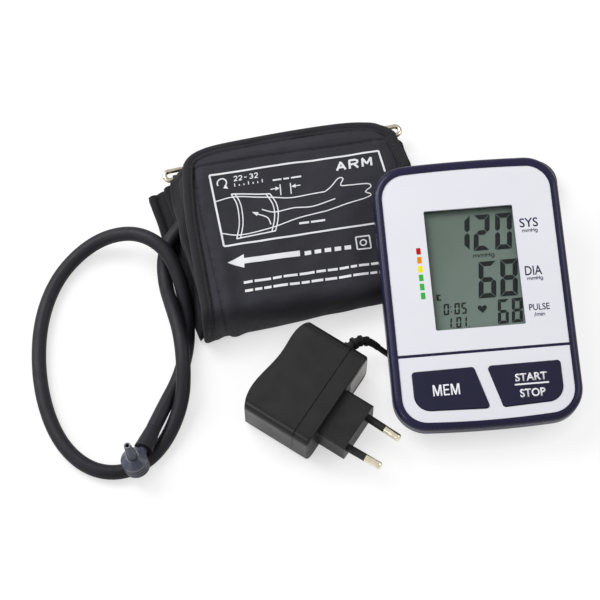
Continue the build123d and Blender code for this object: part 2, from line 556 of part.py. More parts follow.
# ---------------------------------------------------------------- the air hose and its plug
def hose_and_plug():
    save("air_hose", tube(HOSE_ROUTE, HOSE_R, "air hose"))
    start = Vector(*HOSE_ROUTE[-1])
    into = (start - Vector(*HOSE_ROUTE[-2])).normalized()
    axis = Vector(*PLUG_AXIS).normalized()
    swell = rod(start, start + into * HOSE_SWELL, HOSE_R, HOSE_R + 1.1)
    body = Cylinder(PLUG_R, PLUG_BODY)
    for i in range(3):
        groove = Cylinder(PLUG_R + 1, 0.7) - Cylinder(PLUG_R - 0.6, 0.7)
        body -= Pos(0, 0, -PLUG_BODY / 2 + 1.6 + 1.9 * i) * groove
    body = Pos(0, 0, PLUG_BODY / 2) * body
    dome = Pos(0, 0, (PLUG_BODY + PLUG_DOME) / 2) * Cone(PLUG_R, NIPPLE_BASE_R + 0.6, PLUG_DOME - PLUG_BODY)
    nipple = rod((0, 0, PLUG_DOME), (0, 0, PLUG_LENGTH), NIPPLE_BASE_R, NIPPLE_TIP_R)
    plug = body + dome + nipple
    plug -= rod((0, 0, PLUG_BODY - 2), (0, 0, PLUG_LENGTH + 1), NIPPLE_BORE_R)
    plug = Plane(origin=PLUG_BASE, z_dir=axis) * plug
    plug += rod(start + into * 2.5, start + into * (HOSE_SWELL + 5), BARB_R)
    swell -= plug
    save("hose_end", swell)
    save("air_plug", plug)


# ---------------------------------------------------------------- the mains adapter
def adapter_section(left, right, inset=0.0):
    """Body in plan between two stations along the pins; the back is a shallow double curve."""
    near, far = ADAPTER_NEAR + inset, ADAPTER_FAR - inset
    if left > ADAPTER_LEFT + 5:
        back = Line((left, near), (left, far))
    else:
        back = Spline((left + 2.5, near), (left + inset, near + 8), (left + 2.4 + inset, near + 34),
                      (left + 2.2 + inset, far - 8), (left + 5.5, far))
    start, end = back @ 0, back @ 1
    outline = [back, Line(end, (right, far)), Line((right, far), (right, near)), Line((right, near), start)]
    return make_face(outline)


def rounded_body(sketch, low, high, radius):
    solid = slab(sketch, low, high)
    flat = [e for face in (solid.faces().sort_by(Axis.Z)[0], solid.faces().sort_by(Axis.Z)[-1])
            for e in face.edges() if abs((e % 0.5).X) > 0.9]
    return fillet(flat, radius)


def adapter():
    place = Pos(*ADAPTER_POS) * Rot(0, 0, ADAPTER_ANGLE)
    seam, front = ADAPTER_SEAM, ADAPTER_FRONT
    housing = rounded_body(adapter_section(ADAPTER_LEFT, seam), 0, ADAPTER_H, 5.0)
    t = ADAPTER_WALL
    housing -= block(ADAPTER_LEFT + 6, seam + 1, ADAPTER_NEAR + t, ADAPTER_FAR - t, t, ADAPTER_H - t)
    housing -= rod((RELIEF_X, ADAPTER_FAR - 4, RELIEF_Z), (RELIEF_X, ADAPTER_FAR + 2, RELIEF_Z), 2.6)
    save("adapter_housing", place * housing)

    cap = rounded_body(adapter_section(seam, front), 0, ADAPTER_H, 5.0)
    cap = fillet(cap.faces().sort_by(Axis.X)[-1].edges(), 1.4)
    cap -= block(seam - 1, front - t, ADAPTER_NEAR + t + 1, ADAPTER_FAR - t - 1, t + 1, ADAPTER_H - t - 1)
    plug_block = block(front - 0.5, BLOCK_END, BLOCK_NEAR, BLOCK_FAR, *BLOCK_Z)
    plug_block = fillet(plug_block.edges().filter_by(Axis.X), 2.0)
    cap += plug_block
    label = (front - 0.4, front + 0.01, 10.5, 25.5, 5.0, 23.0)
    cap -= block(label[0], label[1] + 1, *label[2:])
    for y in PIN_ROOTS:
        cap -= rod((front - 6, y, PIN_Z), (BLOCK_END + 1, y, PIN_Z), PIN_R)
    save("adapter_cap", place * cap)
    save("adapter_label", place * block(*label))

    pins, sleeves = [], []
    middle = sum(PIN_ROOTS) / 2
    for y in PIN_ROOTS:
        lean = PIN_CONVERGE if y < middle else -PIN_CONVERGE
        root, tip = Vector(BLOCK_END, y, PIN_Z), Vector(BLOCK_END + PIN_LENGTH, y + lean, PIN_Z)
        axis = (tip - root).normalized()
        pin = rod(root, tip, PIN_R)
        pin = fillet(pin.edges().sort_by(Axis.X)[-1], 1.4)
        core = rod(root, root + axis * PIN_SLEEVE, PIN_R - 0.4)
        ring = rod(root, root + axis * PIN_SLEEVE, PIN_R + 0.5) - core
        sleeve = rod(root, root + axis * PIN_SLEEVE, PIN_R) - core
        pins.append(place * ((pin - ring) + rod((front - 6, y, PIN_Z), root, PIN_R)))
        sleeves.append(place * sleeve)
    save("plug_pins", *pins)
    save("pin_sleeves", *sleeves)

    board_x = (-10.0, 8.0)
    core = block(-8, 6, -18, -2, 5.6, 21.0) - block(-4.5, 2.5, -19, -1, 8.6, 18.0)
    capacitor = rod((0, 8, 5.6), (0, 8, 20.0), 5.0)
    save("adapter_board", place * block(*board_x, -25, 23, ADAPTER_WALL, 5.6))
    save("transformer", place * core, place * block(-4.3, 2.3, -15, -5, 8.6, 17.8))
    save("adapter_capacitor", place * capacitor)
    return place


def strain_relief(place):
    """Ribbed, tapered and bent: it leaves the adapter's far side and turns towards the unit."""
    centre = [(RELIEF_X, ADAPTER_FAR - 3.0, RELIEF_Z), (RELIEF_X, ADAPTER_FAR + 3.5, RELIEF_Z + 0.4),
              (RELIEF_X + 1.8, ADAPTER_FAR + 8.0, RELIEF_Z + 0.2), (RELIEF_X + 5.6, ADAPTER_FAR + 10.9, RELIEF_Z - 1.2)]
    end = place.inverse() * Pos(*LEAD_ROUTE[0])
    centre.append(tuple(end.position))
    aim = (place.inverse() * Pos(*LEAD_ROUTE[1])).position - end.position
    path = Spline(*centre, tangents=[(0, 1, 0.05), tuple(aim.normalized())])
    sections = []
    for i in range(6):
        t = i / 5
        sections.append(Plane(origin=path @ t, z_dir=path % t) * Circle(2.55 - 0.75 * t))
    relief = loft(sections)
    for i in range(4):
        t = 0.24 + 0.15 * i
        relief += Plane(origin=path @ t, z_dir=path % t) * Cylinder(3.6 - 0.35 * i, 1.5)
    save("strain_relief", place * relief)


# ---------------------------------------------------------------- the lead put away behind the unit
def hank_shape():
    """Racetrack ring that holds the turns; the outline rounds the strands' corners."""
    depth = 2 * LEAD_R * HANK_COLUMNS
    inner_r = HANK_FOLD_R - LEAD_R
    outer = SlotCenterToCenter(HANK_RUN, 2 * (inner_r + depth))
    inner = SlotCenterToCenter(HANK_RUN, 2 * inner_r)
    ring = slab(outer - inner, HANK_Z, HANK_Z + 2 * LEAD_R * HANK_ROWS)
    return Pos(HANK_X, HANK_Y, 0) * fillet(ring.edges(), 1.2)


def lead_and_hank():
    save("adapter_lead", tube(LEAD_ROUTE, LEAD_R, "lead"))
    save("lead_hank", hank_shape())
    save("lead_tail", tube(TAIL_ROUTE, LEAD_R, "lead tail"))
    half = HANK_FOLD_R - LEAD_R + 2 * LEAD_R * HANK_COLUMNS
    top = HANK_Z + 2 * LEAD_R * HANK_ROWS
    side, gap = TIE_W / 2, 0.05
    inner = (HANK_Y - half - gap, HANK_Y + half + gap, HANK_Z - gap, top + gap)
    tie = block(TIE_X - side, TIE_X + side, inner[0] - TIE_T, inner[1] + TIE_T, inner[2] - TIE_T, inner[3] + TIE_T)
    tie -= block(TIE_X - side - 1, TIE_X + side + 1, *inner)
    save("hank_tie", tie)
    start = Vector(*TAIL_ROUTE[-1])
    axis = (start - Vector(*TAIL_ROUTE[-2])).normalized()
    axis = Vector(axis.X, axis.Y, 0).normalized()
    grip_start = start + axis * DC_RELIEF
    grip_end = grip_start + axis * DC_GRIP
    barrel_end = grip_end + axis * DC_BARREL
    grip = rod(start, grip_start, LEAD_R + 0.7, 3.0) + rod(grip_start, grip_end, DC_PLUG_R)
    barrel = rod(grip_end, barrel_end, DC_BARREL_R) - rod(grip_end + axis * 2, barrel_end + axis, DC_BORE_R)
    save("dc_plug_grip", grip)
    save("dc_plug_barrel", barrel)


def main():
    hull = outer_hull()
    save("upper_case", upper_case())
    save("lower_case", lower_case(hull))
    face_plates()
    keys()
    display()
    board()
    power_and_air()
    battery_door(hull)
    sockets()
    pump_and_valve()
    fasteners_and_feet()
    cuff()
    hose_and_plug()
    place = adapter()
    strain_relief(place)
    lead_and_hank()


main()
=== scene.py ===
# %% [markdown]
# # A blood pressure monitor, its cuff and its mains adapter
#
# The set lies on a table: a monitor with a display and two keys, a folded cuff with its air hose, and
# a mains adapter whose lead runs under the monitor.  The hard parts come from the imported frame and
# only get a finish here.  The cloth, the cords and the prints are built here, because they have folds,
# weave and lettering that a plain solid does not have.

import bmesh
import bpy
import numpy as np
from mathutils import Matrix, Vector


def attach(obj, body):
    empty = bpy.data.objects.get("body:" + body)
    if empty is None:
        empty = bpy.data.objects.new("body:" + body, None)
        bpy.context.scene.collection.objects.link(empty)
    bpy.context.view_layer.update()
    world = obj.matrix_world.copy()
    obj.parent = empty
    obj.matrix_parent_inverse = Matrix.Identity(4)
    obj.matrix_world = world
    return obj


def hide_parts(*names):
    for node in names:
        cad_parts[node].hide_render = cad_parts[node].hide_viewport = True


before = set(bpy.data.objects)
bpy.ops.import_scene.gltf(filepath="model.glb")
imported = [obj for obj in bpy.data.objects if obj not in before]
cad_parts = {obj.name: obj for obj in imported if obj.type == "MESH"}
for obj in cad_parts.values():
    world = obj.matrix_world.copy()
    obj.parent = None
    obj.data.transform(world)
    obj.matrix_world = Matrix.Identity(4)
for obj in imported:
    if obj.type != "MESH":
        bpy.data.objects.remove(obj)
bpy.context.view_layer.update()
scene = bpy.context.scene
scene.view_settings.view_transform = "Standard"

# %% [markdown]
# ## Two rulers
#
# Every size is written in the monitor's own millimetres, whose zero is under the middle of the panel.
# One function turns them into metres in the frame.  The panel is tilted, so a second function takes
# the panel's own coordinates: across, up the panel, and height above the face.

# %% Rulers
MM = 0.001
ZERO = np.array([-57.3, 13.6, 0.0])        # the set's zero in monitor millimetres
TILT, FACE_Z = np.radians(7.3), 31.0


def at(points):
    """Monitor millimetres to frame metres: take the set's zero away, then scale."""
    return (np.asarray(points, float) - ZERO) * MM


def on_panel(x, v, height):
    """Panel to monitor millimetres: a turn about X by the tilt, then a lift to the face."""
    x, v, height = np.broadcast_arrays(np.asarray(x, float), v, height)
    y = v * np.cos(TILT) - height * np.sin(TILT)
    z = FACE_Z + v * np.sin(TILT) + height * np.cos(TILT)
    return np.stack([x, y, z], axis=-1)


print("middle of the panel", on_panel(0, 0, 0), "mm, far side", on_panel(0, 60, 0).round(1), "mm")

# %% [markdown]
# ## The camera
#
# It looks down steeply from in front of the set, with a long lens, as a catalogue picture is taken.

# %% Camera
CAMERA_AT, CAMERA_TARGET, LENS = (-124.6, -399.2, 1005.7), (-88.3, 15.9, 0.0), 125.7
camera_data = bpy.data.cameras.new("camera")
camera_data.lens, camera_data.sensor_width = LENS, 36.0
camera_data.clip_start, camera_data.clip_end = 0.05, 20.0
camera = bpy.data.objects.new("camera", camera_data)
scene.collection.objects.link(camera)
camera.location = Vector(at(CAMERA_AT))
camera.rotation_mode = "QUATERNION"
camera.rotation_quaternion = (Vector(at(CAMERA_TARGET)) - camera.location).to_track_quat("-Z", "Y")
scene.camera = camera
print("camera at", [round(v, 3) for v in camera.location], "m, lens", LENS, "mm")

# %% [markdown]
# ## The cords
#
# The air hose is thick rubber that springs into big loops: out of the cuff, round to the left, and
# back over itself to its plug.  The adapter's lead is thin.  It goes under the monitor between the
# feet and is put away behind it in a hank of folded turns.  Each is one NURBS curve of order three,
# which rounds the corners of a short list of points by itself.

# %% Surface and cord helpers
def new_mesh(name, vertices, faces, material, body="root", uv=None, smooth=True):
    """A mesh piece from vertices in monitor millimetres.  uv holds a pair in millimetres for each face
    corner."""
    mesh = bpy.data.meshes.new(name)
    mesh.from_pydata(at(vertices), [], [list(map(int, f)) for f in faces])
    mesh.polygons.foreach_set("use_smooth", np.full(len(mesh.polygons), smooth))
    if uv is not None:
        mesh.uv_layers.new(name="cloth").data.foreach_set("uv", (np.concatenate(uv) * MM).ravel())
    if material:
        mesh.materials.append(material)
    mesh.update()
    made = bpy.data.objects.new(name, mesh)
    scene.collection.objects.link(made)
    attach(made, body)
    return made


def grid_quads(rows, columns, wrap=False, first=0):
    """Corner numbers of a grid's quads, row by row; wrap joins the last column to the first."""
    i, j = np.meshgrid(np.arange(rows - 1), np.arange(columns - (0 if wrap else 1)), indexing="ij")
    after = (j + 1) % columns
    corners = [i * columns + j, i * columns + after, (i + 1) * columns + after, (i + 1) * columns + j]
    return first + np.stack(corners, axis=-1).reshape(-1, 4)


def route_line(route, steps=14):
    """Points in monitor millimetres of the NURBS curve of order three that the route's points pull."""
    curve = bpy.data.curves.new("route", "CURVE")
    curve.dimensions, curve.resolution_u = "3D", steps
    spline = curve.splines.new("NURBS")
    spline.points.add(len(route) - 1)
    spline.points.foreach_set("co", np.c_[np.array(route, float), np.ones(len(route))].ravel())
    spline.order_u = 3
    spline.use_endpoint_u = True
    holder = bpy.data.objects.new("route", curve)
    mesh = bpy.data.meshes.new_from_object(holder)
    line = np.empty(len(mesh.vertices) * 3)
    mesh.vertices.foreach_get("co", line)
    bpy.data.objects.remove(holder)
    bpy.data.meshes.remove(mesh)
    return line.reshape(-1, 3)


def unit(vectors):
    """Each row over its own length."""
    return vectors / np.linalg.norm(vectors, axis=1)[:, None]


def line_length(line):
    """Sum of the distances from each point to the next."""
    return np.linalg.norm(np.diff(line, axis=0), axis=1).sum()


def run_along(line):
    """Length of the line up to each of its points."""
    return np.r_[0, np.cumsum(np.linalg.norm(np.diff(line, axis=0), axis=1))]


def tube(name, line, radius, material, sides):
    """A circle carried along a line: the line's point, plus radius times cos of the angle across and sin of
    the angle up, where across is level and square to the line."""
    ahead = unit(np.gradient(line, axis=0))
    across = unit(np.cross(ahead, (0, 0, 1)))
    up = np.cross(across, ahead)
    angle = np.linspace(0, 2 * np.pi, sides, endpoint=False)[None, :, None]
    rings = line[:, None] + radius * (np.cos(angle) * across[:, None] - np.sin(angle) * up[:, None])
    n = len(line)
    quads = grid_quads(n, sides, wrap=True)
    along = run_along(line)
    i, j = np.meshgrid(np.arange(n - 1), np.arange(sides), indexing="ij")
    round_mm = 2 * np.pi * radius / sides
    corner_uv = np.stack([np.stack([(j + dj) * round_mm, along[i + di]], -1)
                          for di, dj in ((0, 0), (0, 1), (1, 1), (1, 0))], axis=2).reshape(-1, 2)
    caps = [np.arange(sides)[::-1], (n - 1) * sides + np.arange(sides)]
    return new_mesh(name, rings.reshape(-1, 3), [*quads, *caps], material,
                    uv=[corner_uv, np.zeros((2 * sides, 2))])


# %% Air hose
HOSE_R = 3.75
HOSE_ROUTE = [(-141.9, 62.6, 11.2), (-151.1, 54.6, 10.8), (-157.3, 43.3, 8.0), (-157.4, 28.0, 5.6),
              (-154.2, 12.0, 12.6), (-151.1, -3.0, 15.6), (-150.4, -21.0, 15.4), (-152.4, -38.0, 9.6),
              (-161.0, -55.0, 4.2), (-172.5, -67.0, 4.0), (-187.5, -71.8, 4.0), (-202.5, -67.5, 4.0),
              (-215.0, -54.0, 4.0), (-222.5, -33.5, 4.0), (-225.0, -9.5, 4.0), (-222.5, 14.5, 4.0),
              (-214.5, 35.0, 4.0), (-202.0, 49.5, 4.6), (-186.5, 56.5, 9.6), (-169.5, 54.0, 17.4),
              (-155.6, 43.5, 18.8), (-149.0, 27.5, 14.4), (-146.9, 9.0, 5.6), (-148.2, -8.0, 4.0),
              (-153.9, -24.5, 4.0), (-162.2, -39.5, 7.2), (-168.3, -52.0, 10.2)]
hose_line = route_line(HOSE_ROUTE)
air_hose = tube("air_hose_rubber", hose_line, HOSE_R, None, sides=28)
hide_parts("air_hose")
print(f"air hose {line_length(hose_line):.0f} mm")

# %% [markdown]
# The hank is six turns of a racetrack: two straight runs joined by half circles.  A quadratic NURBS
# touches the middle of each side of its control polygon, so the half circle's control points lie on
# an octagon drawn round it.  The turns change place, one at a time, on the left end.

# %% Adapter lead with its hank
LEAD_R = 1.5
LEAD_ROUTE = [(-51.3, -17.8, 10.2), (-45.6, -21.4, 6.2), (-38.8, -24.6, 2.6), (-30.0, -25.6, 1.5),
              (-19.0, -22.0, 1.5), (-10.0, -13.0, 1.5), (-4.5, 2.0, 1.5), (-3.0, 20.0, 1.5),
              (-1.0, 36.0, 1.5), (5.5, 48.5, 1.9), (16.0, 54.7, 2.4), (27.5, 56.3, 2.5)]
TAIL_ROUTE = [(39.0, 77.3, 8.5), (31.5, 76.4, 8.4), (25.5, 73.2, 7.2), (20.0, 69.2, 6.0), (14.0, 68.6, 5.4)]
HANK_X, HANK_Y, HANK_RUN = 14.0, 68.3, 50.0
OUTER, INNER, ROWS = 12.0, 9.0, (2.5, 5.5, 8.5)      # radii of the half circles, and heights of the rows
TURNS = [(OUTER, ROWS[0]), (INNER, ROWS[0]), (INNER, ROWS[1]), (OUTER, ROWS[1]), (OUTER, ROWS[2]),
         (INNER, ROWS[2])]
RUN_STATIONS = np.array([-18, 0, 18])       # points on each straight run
CHANGE_SHARES = (0.15, 0.4, 0.6, 0.85)      # how far the lead has changed turns at each corner


def hank_points():
    """Control points of the turns: octagon corners at both ends and three points on each straight run."""
    corners = np.radians([-67.5, -22.5, 22.5, 67.5])
    reach = 1 / np.cos(np.pi / 8)
    points = []
    for i, (radius, z) in enumerate(TURNS):
        last = i == len(TURNS) - 1
        after, z_after = (radius, z) if last else TURNS[i + 1]
        if i:
            points += [(HANK_X + dx, HANK_Y - radius, z) for dx in RUN_STATIONS]
        points += [(HANK_X + HANK_RUN / 2 + radius * reach * np.cos(a),
                    HANK_Y + radius * reach * np.sin(a), z) for a in corners]
        if last:
            break
        points += [(HANK_X + dx, HANK_Y + radius, z) for dx in -RUN_STATIONS]
        for share, a in zip(CHANGE_SHARES, corners):
            r = (radius + (after - radius) * share) * reach
            points.append((HANK_X - HANK_RUN / 2 - r * np.cos(a), HANK_Y - r * np.sin(a),
                           z + (z_after - z) * share))
    return points


lead_line = route_line(LEAD_ROUTE + hank_points() + TAIL_ROUTE[1:])
adapter_lead = tube("adapter_lead_jacket", lead_line, LEAD_R, None, sides=16)
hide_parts("adapter_lead", "lead_hank", "lead_tail")
print(f"adapter lead {line_length(lead_line):.0f} mm")

# %% [markdown]
# ## Floor and light
#
# A pale floor, a soft white surrounding and four soft boxes.  The floor and the surrounding show as
# white to the camera and in part in reflections, but light the set at a plain level.

# %% Node helpers
def link(tree, source, target):
    """Joins an output socket to an input socket."""
    tree.links.new(source, target)


def node(tree, kind, values=(), **settings):
    """A node with its settings; values maps an input's name or number to a number or to a socket."""
    made = tree.nodes.new(kind)
    for key, value in settings.items():
        setattr(made, key, value)
    for key, value in dict(values).items():
        if isinstance(value, bpy.types.NodeSocket):
            link(tree, value, made.inputs[key])
        else:
            made.inputs[key].default_value = value
    return made


def sums(tree, operation, *values, **settings):
    """A Math node on one or two values or sockets."""
    return node(tree, "ShaderNodeMath", enumerate(values), operation=operation, **settings).outputs[0]


def carry(tree, value, start, end, low=0.0, high=1.0):
    """Carries a value from the range start to end onto the range low to high, and stops at both ends."""
    return node(tree, "ShaderNodeMapRange", {"Value": value, "From Min": start, "From Max": end,
                                             "To Min": low, "To Max": high}).outputs[0]


def is_seen(tree, mirrored):
    """One for rays of the camera and of glass, the share mirrored for reflections, else zero."""
    path = node(tree, "ShaderNodeLightPath")
    glossy = sums(tree, "MULTIPLY", path.outputs["Is Glossy Ray"], mirrored)
    shown = sums(tree, "MAXIMUM", path.outputs["Is Camera Ray"], glossy)
    return sums(tree, "MAXIMUM", shown, path.outputs["Is Transmission Ray"])


# %% World and lamps
WHITE = (1, 1, 1, 1)
LIT_BY_WORLD, WORLD_MIRRORED = 0.26, 0.6    # the world's light, and how much of its white gloss shows
world = bpy.data.worlds.new("studio")
scene.world = world
world.use_nodes = True
tree = world.node_tree
tree.nodes.clear()
plain = node(tree, "ShaderNodeBackground", {"Color": WHITE, "Strength": LIT_BY_WORLD})
white = node(tree, "ShaderNodeBackground", {"Color": WHITE, "Strength": 1.0})
mix = node(tree, "ShaderNodeMixShader", {0: is_seen(tree, WORLD_MIRRORED), 1: plain.outputs[0],
                                         2: white.outputs[0]})
link(tree, mix.outputs[0], node(tree, "ShaderNodeOutputWorld").inputs["Surface"])


def lamp(name, place, size, power):
    """A square soft box at a place in metres that faces the middle of the set; power is in watts."""
    data = bpy.data.lights.new(name, "AREA")
    data.shape, data.size, data.energy = "SQUARE", size, power
    made = bpy.data.objects.new(name, data)
    scene.collection.objects.link(made)
    made.location = place
    made.rotation_mode = "QUATERNION"
    made.rotation_quaternion = (-made.location).to_track_quat("-Z", "Y")


lamp("soft_left", (-1.2, 0.45, 0.72), 0.5, 5.2)
lamp("soft_near", (-0.95, -0.6, 0.75), 0.35, 2.2)
lamp("soft_right", (1.1, 0.1, 1.0), 0.8, 5.0)
lamp("soft_top", (-0.75, 0.75, 1.25), 0.9, 19.0)
print("lamps", [light.name for light in bpy.data.lights])

# %% [markdown]
# The floor is white paper: mostly plain white to the camera, with the rest of it lit, so that a soft
# shadow stays.  Where the set comes close to it, an ambient occlusion node lets more shadow through.

# %% Floor
FLOOR_HALF = 6.0
FLOOR_WHITE, FLOOR_MIRRORED = 1.06, 0.3     # strength of the plain white, and how much of it gloss shows
OPEN_SHARE, CLOSE_SHARE = 0.77, 0.52        # share of plain white in the open and at contact
floor_mesh = bpy.data.meshes.new("floor")
floor_corners = [(x * FLOOR_HALF, y * FLOOR_HALF, 0) for x, y in ((-1, -1), (1, -1), (1, 1), (-1, 1))]
floor_mesh.from_pydata(floor_corners, [], [(0, 1, 2, 3)])
floor = bpy.data.objects.new("floor", floor_mesh)
scene.collection.objects.link(floor)
floor_finish = bpy.data.materials.new("floor_white")
floor_finish.use_nodes = True
tree = floor_finish.node_tree
tree.nodes.clear()
lit = node(tree, "ShaderNodeBsdfDiffuse", {"Color": (0.97, 0.97, 0.97, 1)})
bright = node(tree, "ShaderNodeEmission", {"Color": WHITE, "Strength": FLOOR_WHITE})
contact = node(tree, "ShaderNodeAmbientOcclusion", {"Distance": 0.014}, samples=12).outputs["AO"]
cover = carry(tree, contact, 0.3, 1.0, CLOSE_SHARE, OPEN_SHARE)
share = sums(tree, "MULTIPLY", is_seen(tree, FLOOR_MIRRORED), cover)
mix = node(tree, "ShaderNodeMixShader", {0: share, 1: lit.outputs[0], 2: bright.outputs[0]})
link(tree, mix.outputs[0], node(tree, "ShaderNodeOutputMaterial").inputs["Surface"])
floor_mesh.materials.append(floor_finish)
print("floor", 2 * FLOOR_HALF, "m wide")

# %% [markdown]
# ## Finishes
#
# Moulded plastic is never one flat colour: its tint drifts a little, and a fine grain breaks up the
# gloss.  One recipe makes all the plastics and rubbers, with the colour, gloss and grain of each.

# %% Recipe for moulded parts
def blank_material(name):
    """A new material, its nodes and its shader."""
    material = bpy.data.materials.new(name)
    material.use_nodes = True
    return material, material.node_tree, material.node_tree.nodes["Principled BSDF"]


def noise(tree, scale, detail=4.0, rough=0.55, stretch=(1, 1, 1)):
    """Noise on object coordinates; scale is in cells per metre."""
    place = node(tree, "ShaderNodeTexCoord").outputs["Object"]
    mapped = node(tree, "ShaderNodeMapping", {"Vector": place, "Scale": stretch})
    return node(tree, "ShaderNodeTexNoise", {"Vector": mapped.outputs[0], "Scale": scale, "Detail": detail,
                                             "Roughness": rough})


def spread(tree, made_noise, low, high):
    """Carries a noise, whose factor is mostly 0.3 to 0.7, onto the range from low to high."""
    return carry(tree, made_noise.outputs["Fac"], 0.3, 0.7, low, high)


def two_tone(tree, factor, first, second):
    """From the first colour to the second, by the factor."""
    mixed = node(tree, "ShaderNodeMix", {0: factor}, data_type="RGBA")
    mixed.inputs["A"].default_value = (*first, 1)
    mixed.inputs["B"].default_value = (*second, 1)
    return mixed.outputs["Result"]


def bump(tree, height, distance, normal=None):
    """A bump of the given depth in metres, on top of another normal where there is one."""
    values = {"Height": height, "Distance": distance, "Strength": 1.0}
    if normal is not None:
        values["Normal"] = normal
    return node(tree, "ShaderNodeBump", values).outputs[0]


def moulded(name, color, rough, grain=2500.0, depth=0.00002, drift=0.12, specular=0.5):
    """Moulded plastic or rubber: slow drift of the tint, a worn change of gloss, and a fine grain."""
    material, tree, shader = blank_material(name)
    color = np.array(color)
    slow = spread(tree, noise(tree, 35.0), 0.0, 1.0)
    link(tree, two_tone(tree, slow, color * (1 - drift), color * (1 + drift)), shader.inputs["Base Color"])
    worn = spread(tree, noise(tree, 120.0, 6.0), rough * 0.85, min(1.0, rough * 1.15))
    link(tree, worn, shader.inputs["Roughness"])
    link(tree, bump(tree, noise(tree, grain, 3.0).outputs["Fac"], depth), shader.inputs["Normal"])
    shader.inputs["Specular IOR Level"].default_value = specular
    return material


def give(material, *names):
    """Paints frame nodes by name."""
    for name in names:
        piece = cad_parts[name]
        piece.data.materials.clear()
        piece.data.materials.append(material)


# %% Finishes of the hard parts
# name, colour, roughness, cells of grain in a metre, its depth in metres, drift of the tint, specular
navy_shell = moulded("navy_shell", (0.0125, 0.0118, 0.042), 0.26, 1800, 0.000012, 0.1, 0.22)
navy_cap = moulded("navy_key_cap", (0.0135, 0.0130, 0.0355), 0.5, 1800, 0.00003, 0.1, 0.16)
white_face = moulded("white_face", (0.772, 0.782, 0.835), 0.42, 1500, 0.00001, 0.012)
pale_inner = moulded("pale_inner_plastic", (0.78, 0.78, 0.75), 0.5, drift=0.03)
black_gloss = moulded("black_moulded", (0.0062, 0.0060, 0.0064), 0.32, 1400, 0.00003, 0.15, 0.32)
black_satin = moulded("black_satin", (0.010, 0.010, 0.0105), 0.46, 2200, 0.00004, 0.2, 0.34)
soft_black = moulded("soft_black_rubber", (0.010, 0.010, 0.011), 0.62, 1500, 0.00006, 0.2, 0.2)
hose_rubber = moulded("hose_rubber", (0.0122, 0.0122, 0.0165), 0.55, 900, 0.00005, 0.22, 0.24)
jacket = moulded("lead_jacket", (0.008, 0.008, 0.0085), 0.42, 1200, 0.00004, 0.2, 0.36)
pale_rubber = moulded("pale_rubber", (0.70, 0.70, 0.66), 0.6, drift=0.05)
dark_part = moulded("dark_component", (0.02, 0.02, 0.012), 0.55)
board_green = moulded("board_green", (0.02, 0.16, 0.07), 0.4, 600, 0.00005, 0.25)
cell_wrap = moulded("cell_wrap", (0.16, 0.18, 0.24), 0.3, drift=0.1)
plug_tint = moulded("plug_blue_grey", (0.066, 0.071, 0.102), 0.3, 1200, 0.00003, 0.18, 0.36)

give(navy_shell, "upper_case", "lower_case", "battery_door")
give(navy_cap, "mem_button", "start_stop_button")
give(white_face, "display_plate", "key_plate")
give(pale_inner, "lcd_frame", "pump_head", "valve_body", "air_manifold")
give(black_gloss, "adapter_housing", "adapter_cap")
give(black_satin, "air_socket", "power_jack", "dc_plug_grip", "pin_sleeves", "hank_tie")
give(soft_black, "rubber_feet", "lcd_connector", "strain_relief", "cuff_bladder")
give(hose_rubber, "hose_end", "bladder_port")
give(pale_rubber, "mem_dome", "start_stop_dome", "pump_diaphragm", "air_tubes")
give(dark_part, "controller_chip", "pressure_sensor", "buzzer", "adapter_capacitor", "transformer")
give(board_green, "main_board", "adapter_board")
give(cell_wrap, "batteries")
give(plug_tint, "air_plug")
air_hose.data.materials.append(hose_rubber)
adapter_lead.data.materials.append(jacket)
print("finishes so far", len(bpy.data.materials))


# %% [markdown]
# The adapter's body and its cap are two mouldings, and a hair-fine groove runs round it where they meet.
# It is too thin to be worth a cut in the mesh, so the finish sinks a line there with a bump and paints
# shade into it, a near-black line for the shade in the groove: how far a place is from the plane of the
# joint is a dot product, which a Vector Math node works out.

# %% The adapter's parting line
def parting_line(material, heading, place, half_width=0.4, deep=0.5):
    """A fine groove where two mouldings meet, sunk, and darkened with painted shade, where the distance
    |(P - place) . heading| is under half_width."""
    tree = material.node_tree
    shader = next(n for n in tree.nodes if n.type == "BSDF_PRINCIPLED")
    along = node(tree, "ShaderNodeVectorMath", {0: node(tree, "ShaderNodeTexCoord").outputs["Object"],
                                                1: heading}, operation="DOT_PRODUCT").outputs["Value"]
    apart = sums(tree, "ABSOLUTE", sums(tree, "SUBTRACT", along, float(np.dot(place, heading))))
    open_share = carry(tree, apart, 0.0, half_width * MM)
    for socket in ("Base Color", "Normal"):
        before = shader.inputs[socket].links[0].from_socket
        if socket == "Normal":
            after = bump(tree, open_share, deep * MM, normal=before)
        else:
            shade = node(tree, "ShaderNodeMix", {0: open_share}, data_type="RGBA")
            # near black: painted shade in the groove, with the same plastic on both sides
            shade.inputs["A"].default_value = (0.001, 0.001, 0.001, 1)
            link(tree, before, shade.inputs["B"])
            after = shade.outputs["Result"]
        link(tree, after, shader.inputs[socket])


ADAPTER_AT, ADAPTER_TURN = np.array([-90.0, -37.0, 0.0]), np.radians(-38.0)
CAP_AHEAD = 11.0                            # its cap starts this far ahead of its middle
cap_heading = np.array([np.cos(ADAPTER_TURN), np.sin(ADAPTER_TURN), 0])
parting_line(black_gloss, cap_heading, at(ADAPTER_AT + CAP_AHEAD * cap_heading))
print("parting line across", cap_heading.round(3))


# %% [markdown]
# The plug's pins, the ring, the springs and the screws are metal.  Drawn wire and rolled sheet carry fine
# scratches one way, which a noise stretched along X gives, and a second noise clouds the gloss, because
# an even mirror would look like glass.

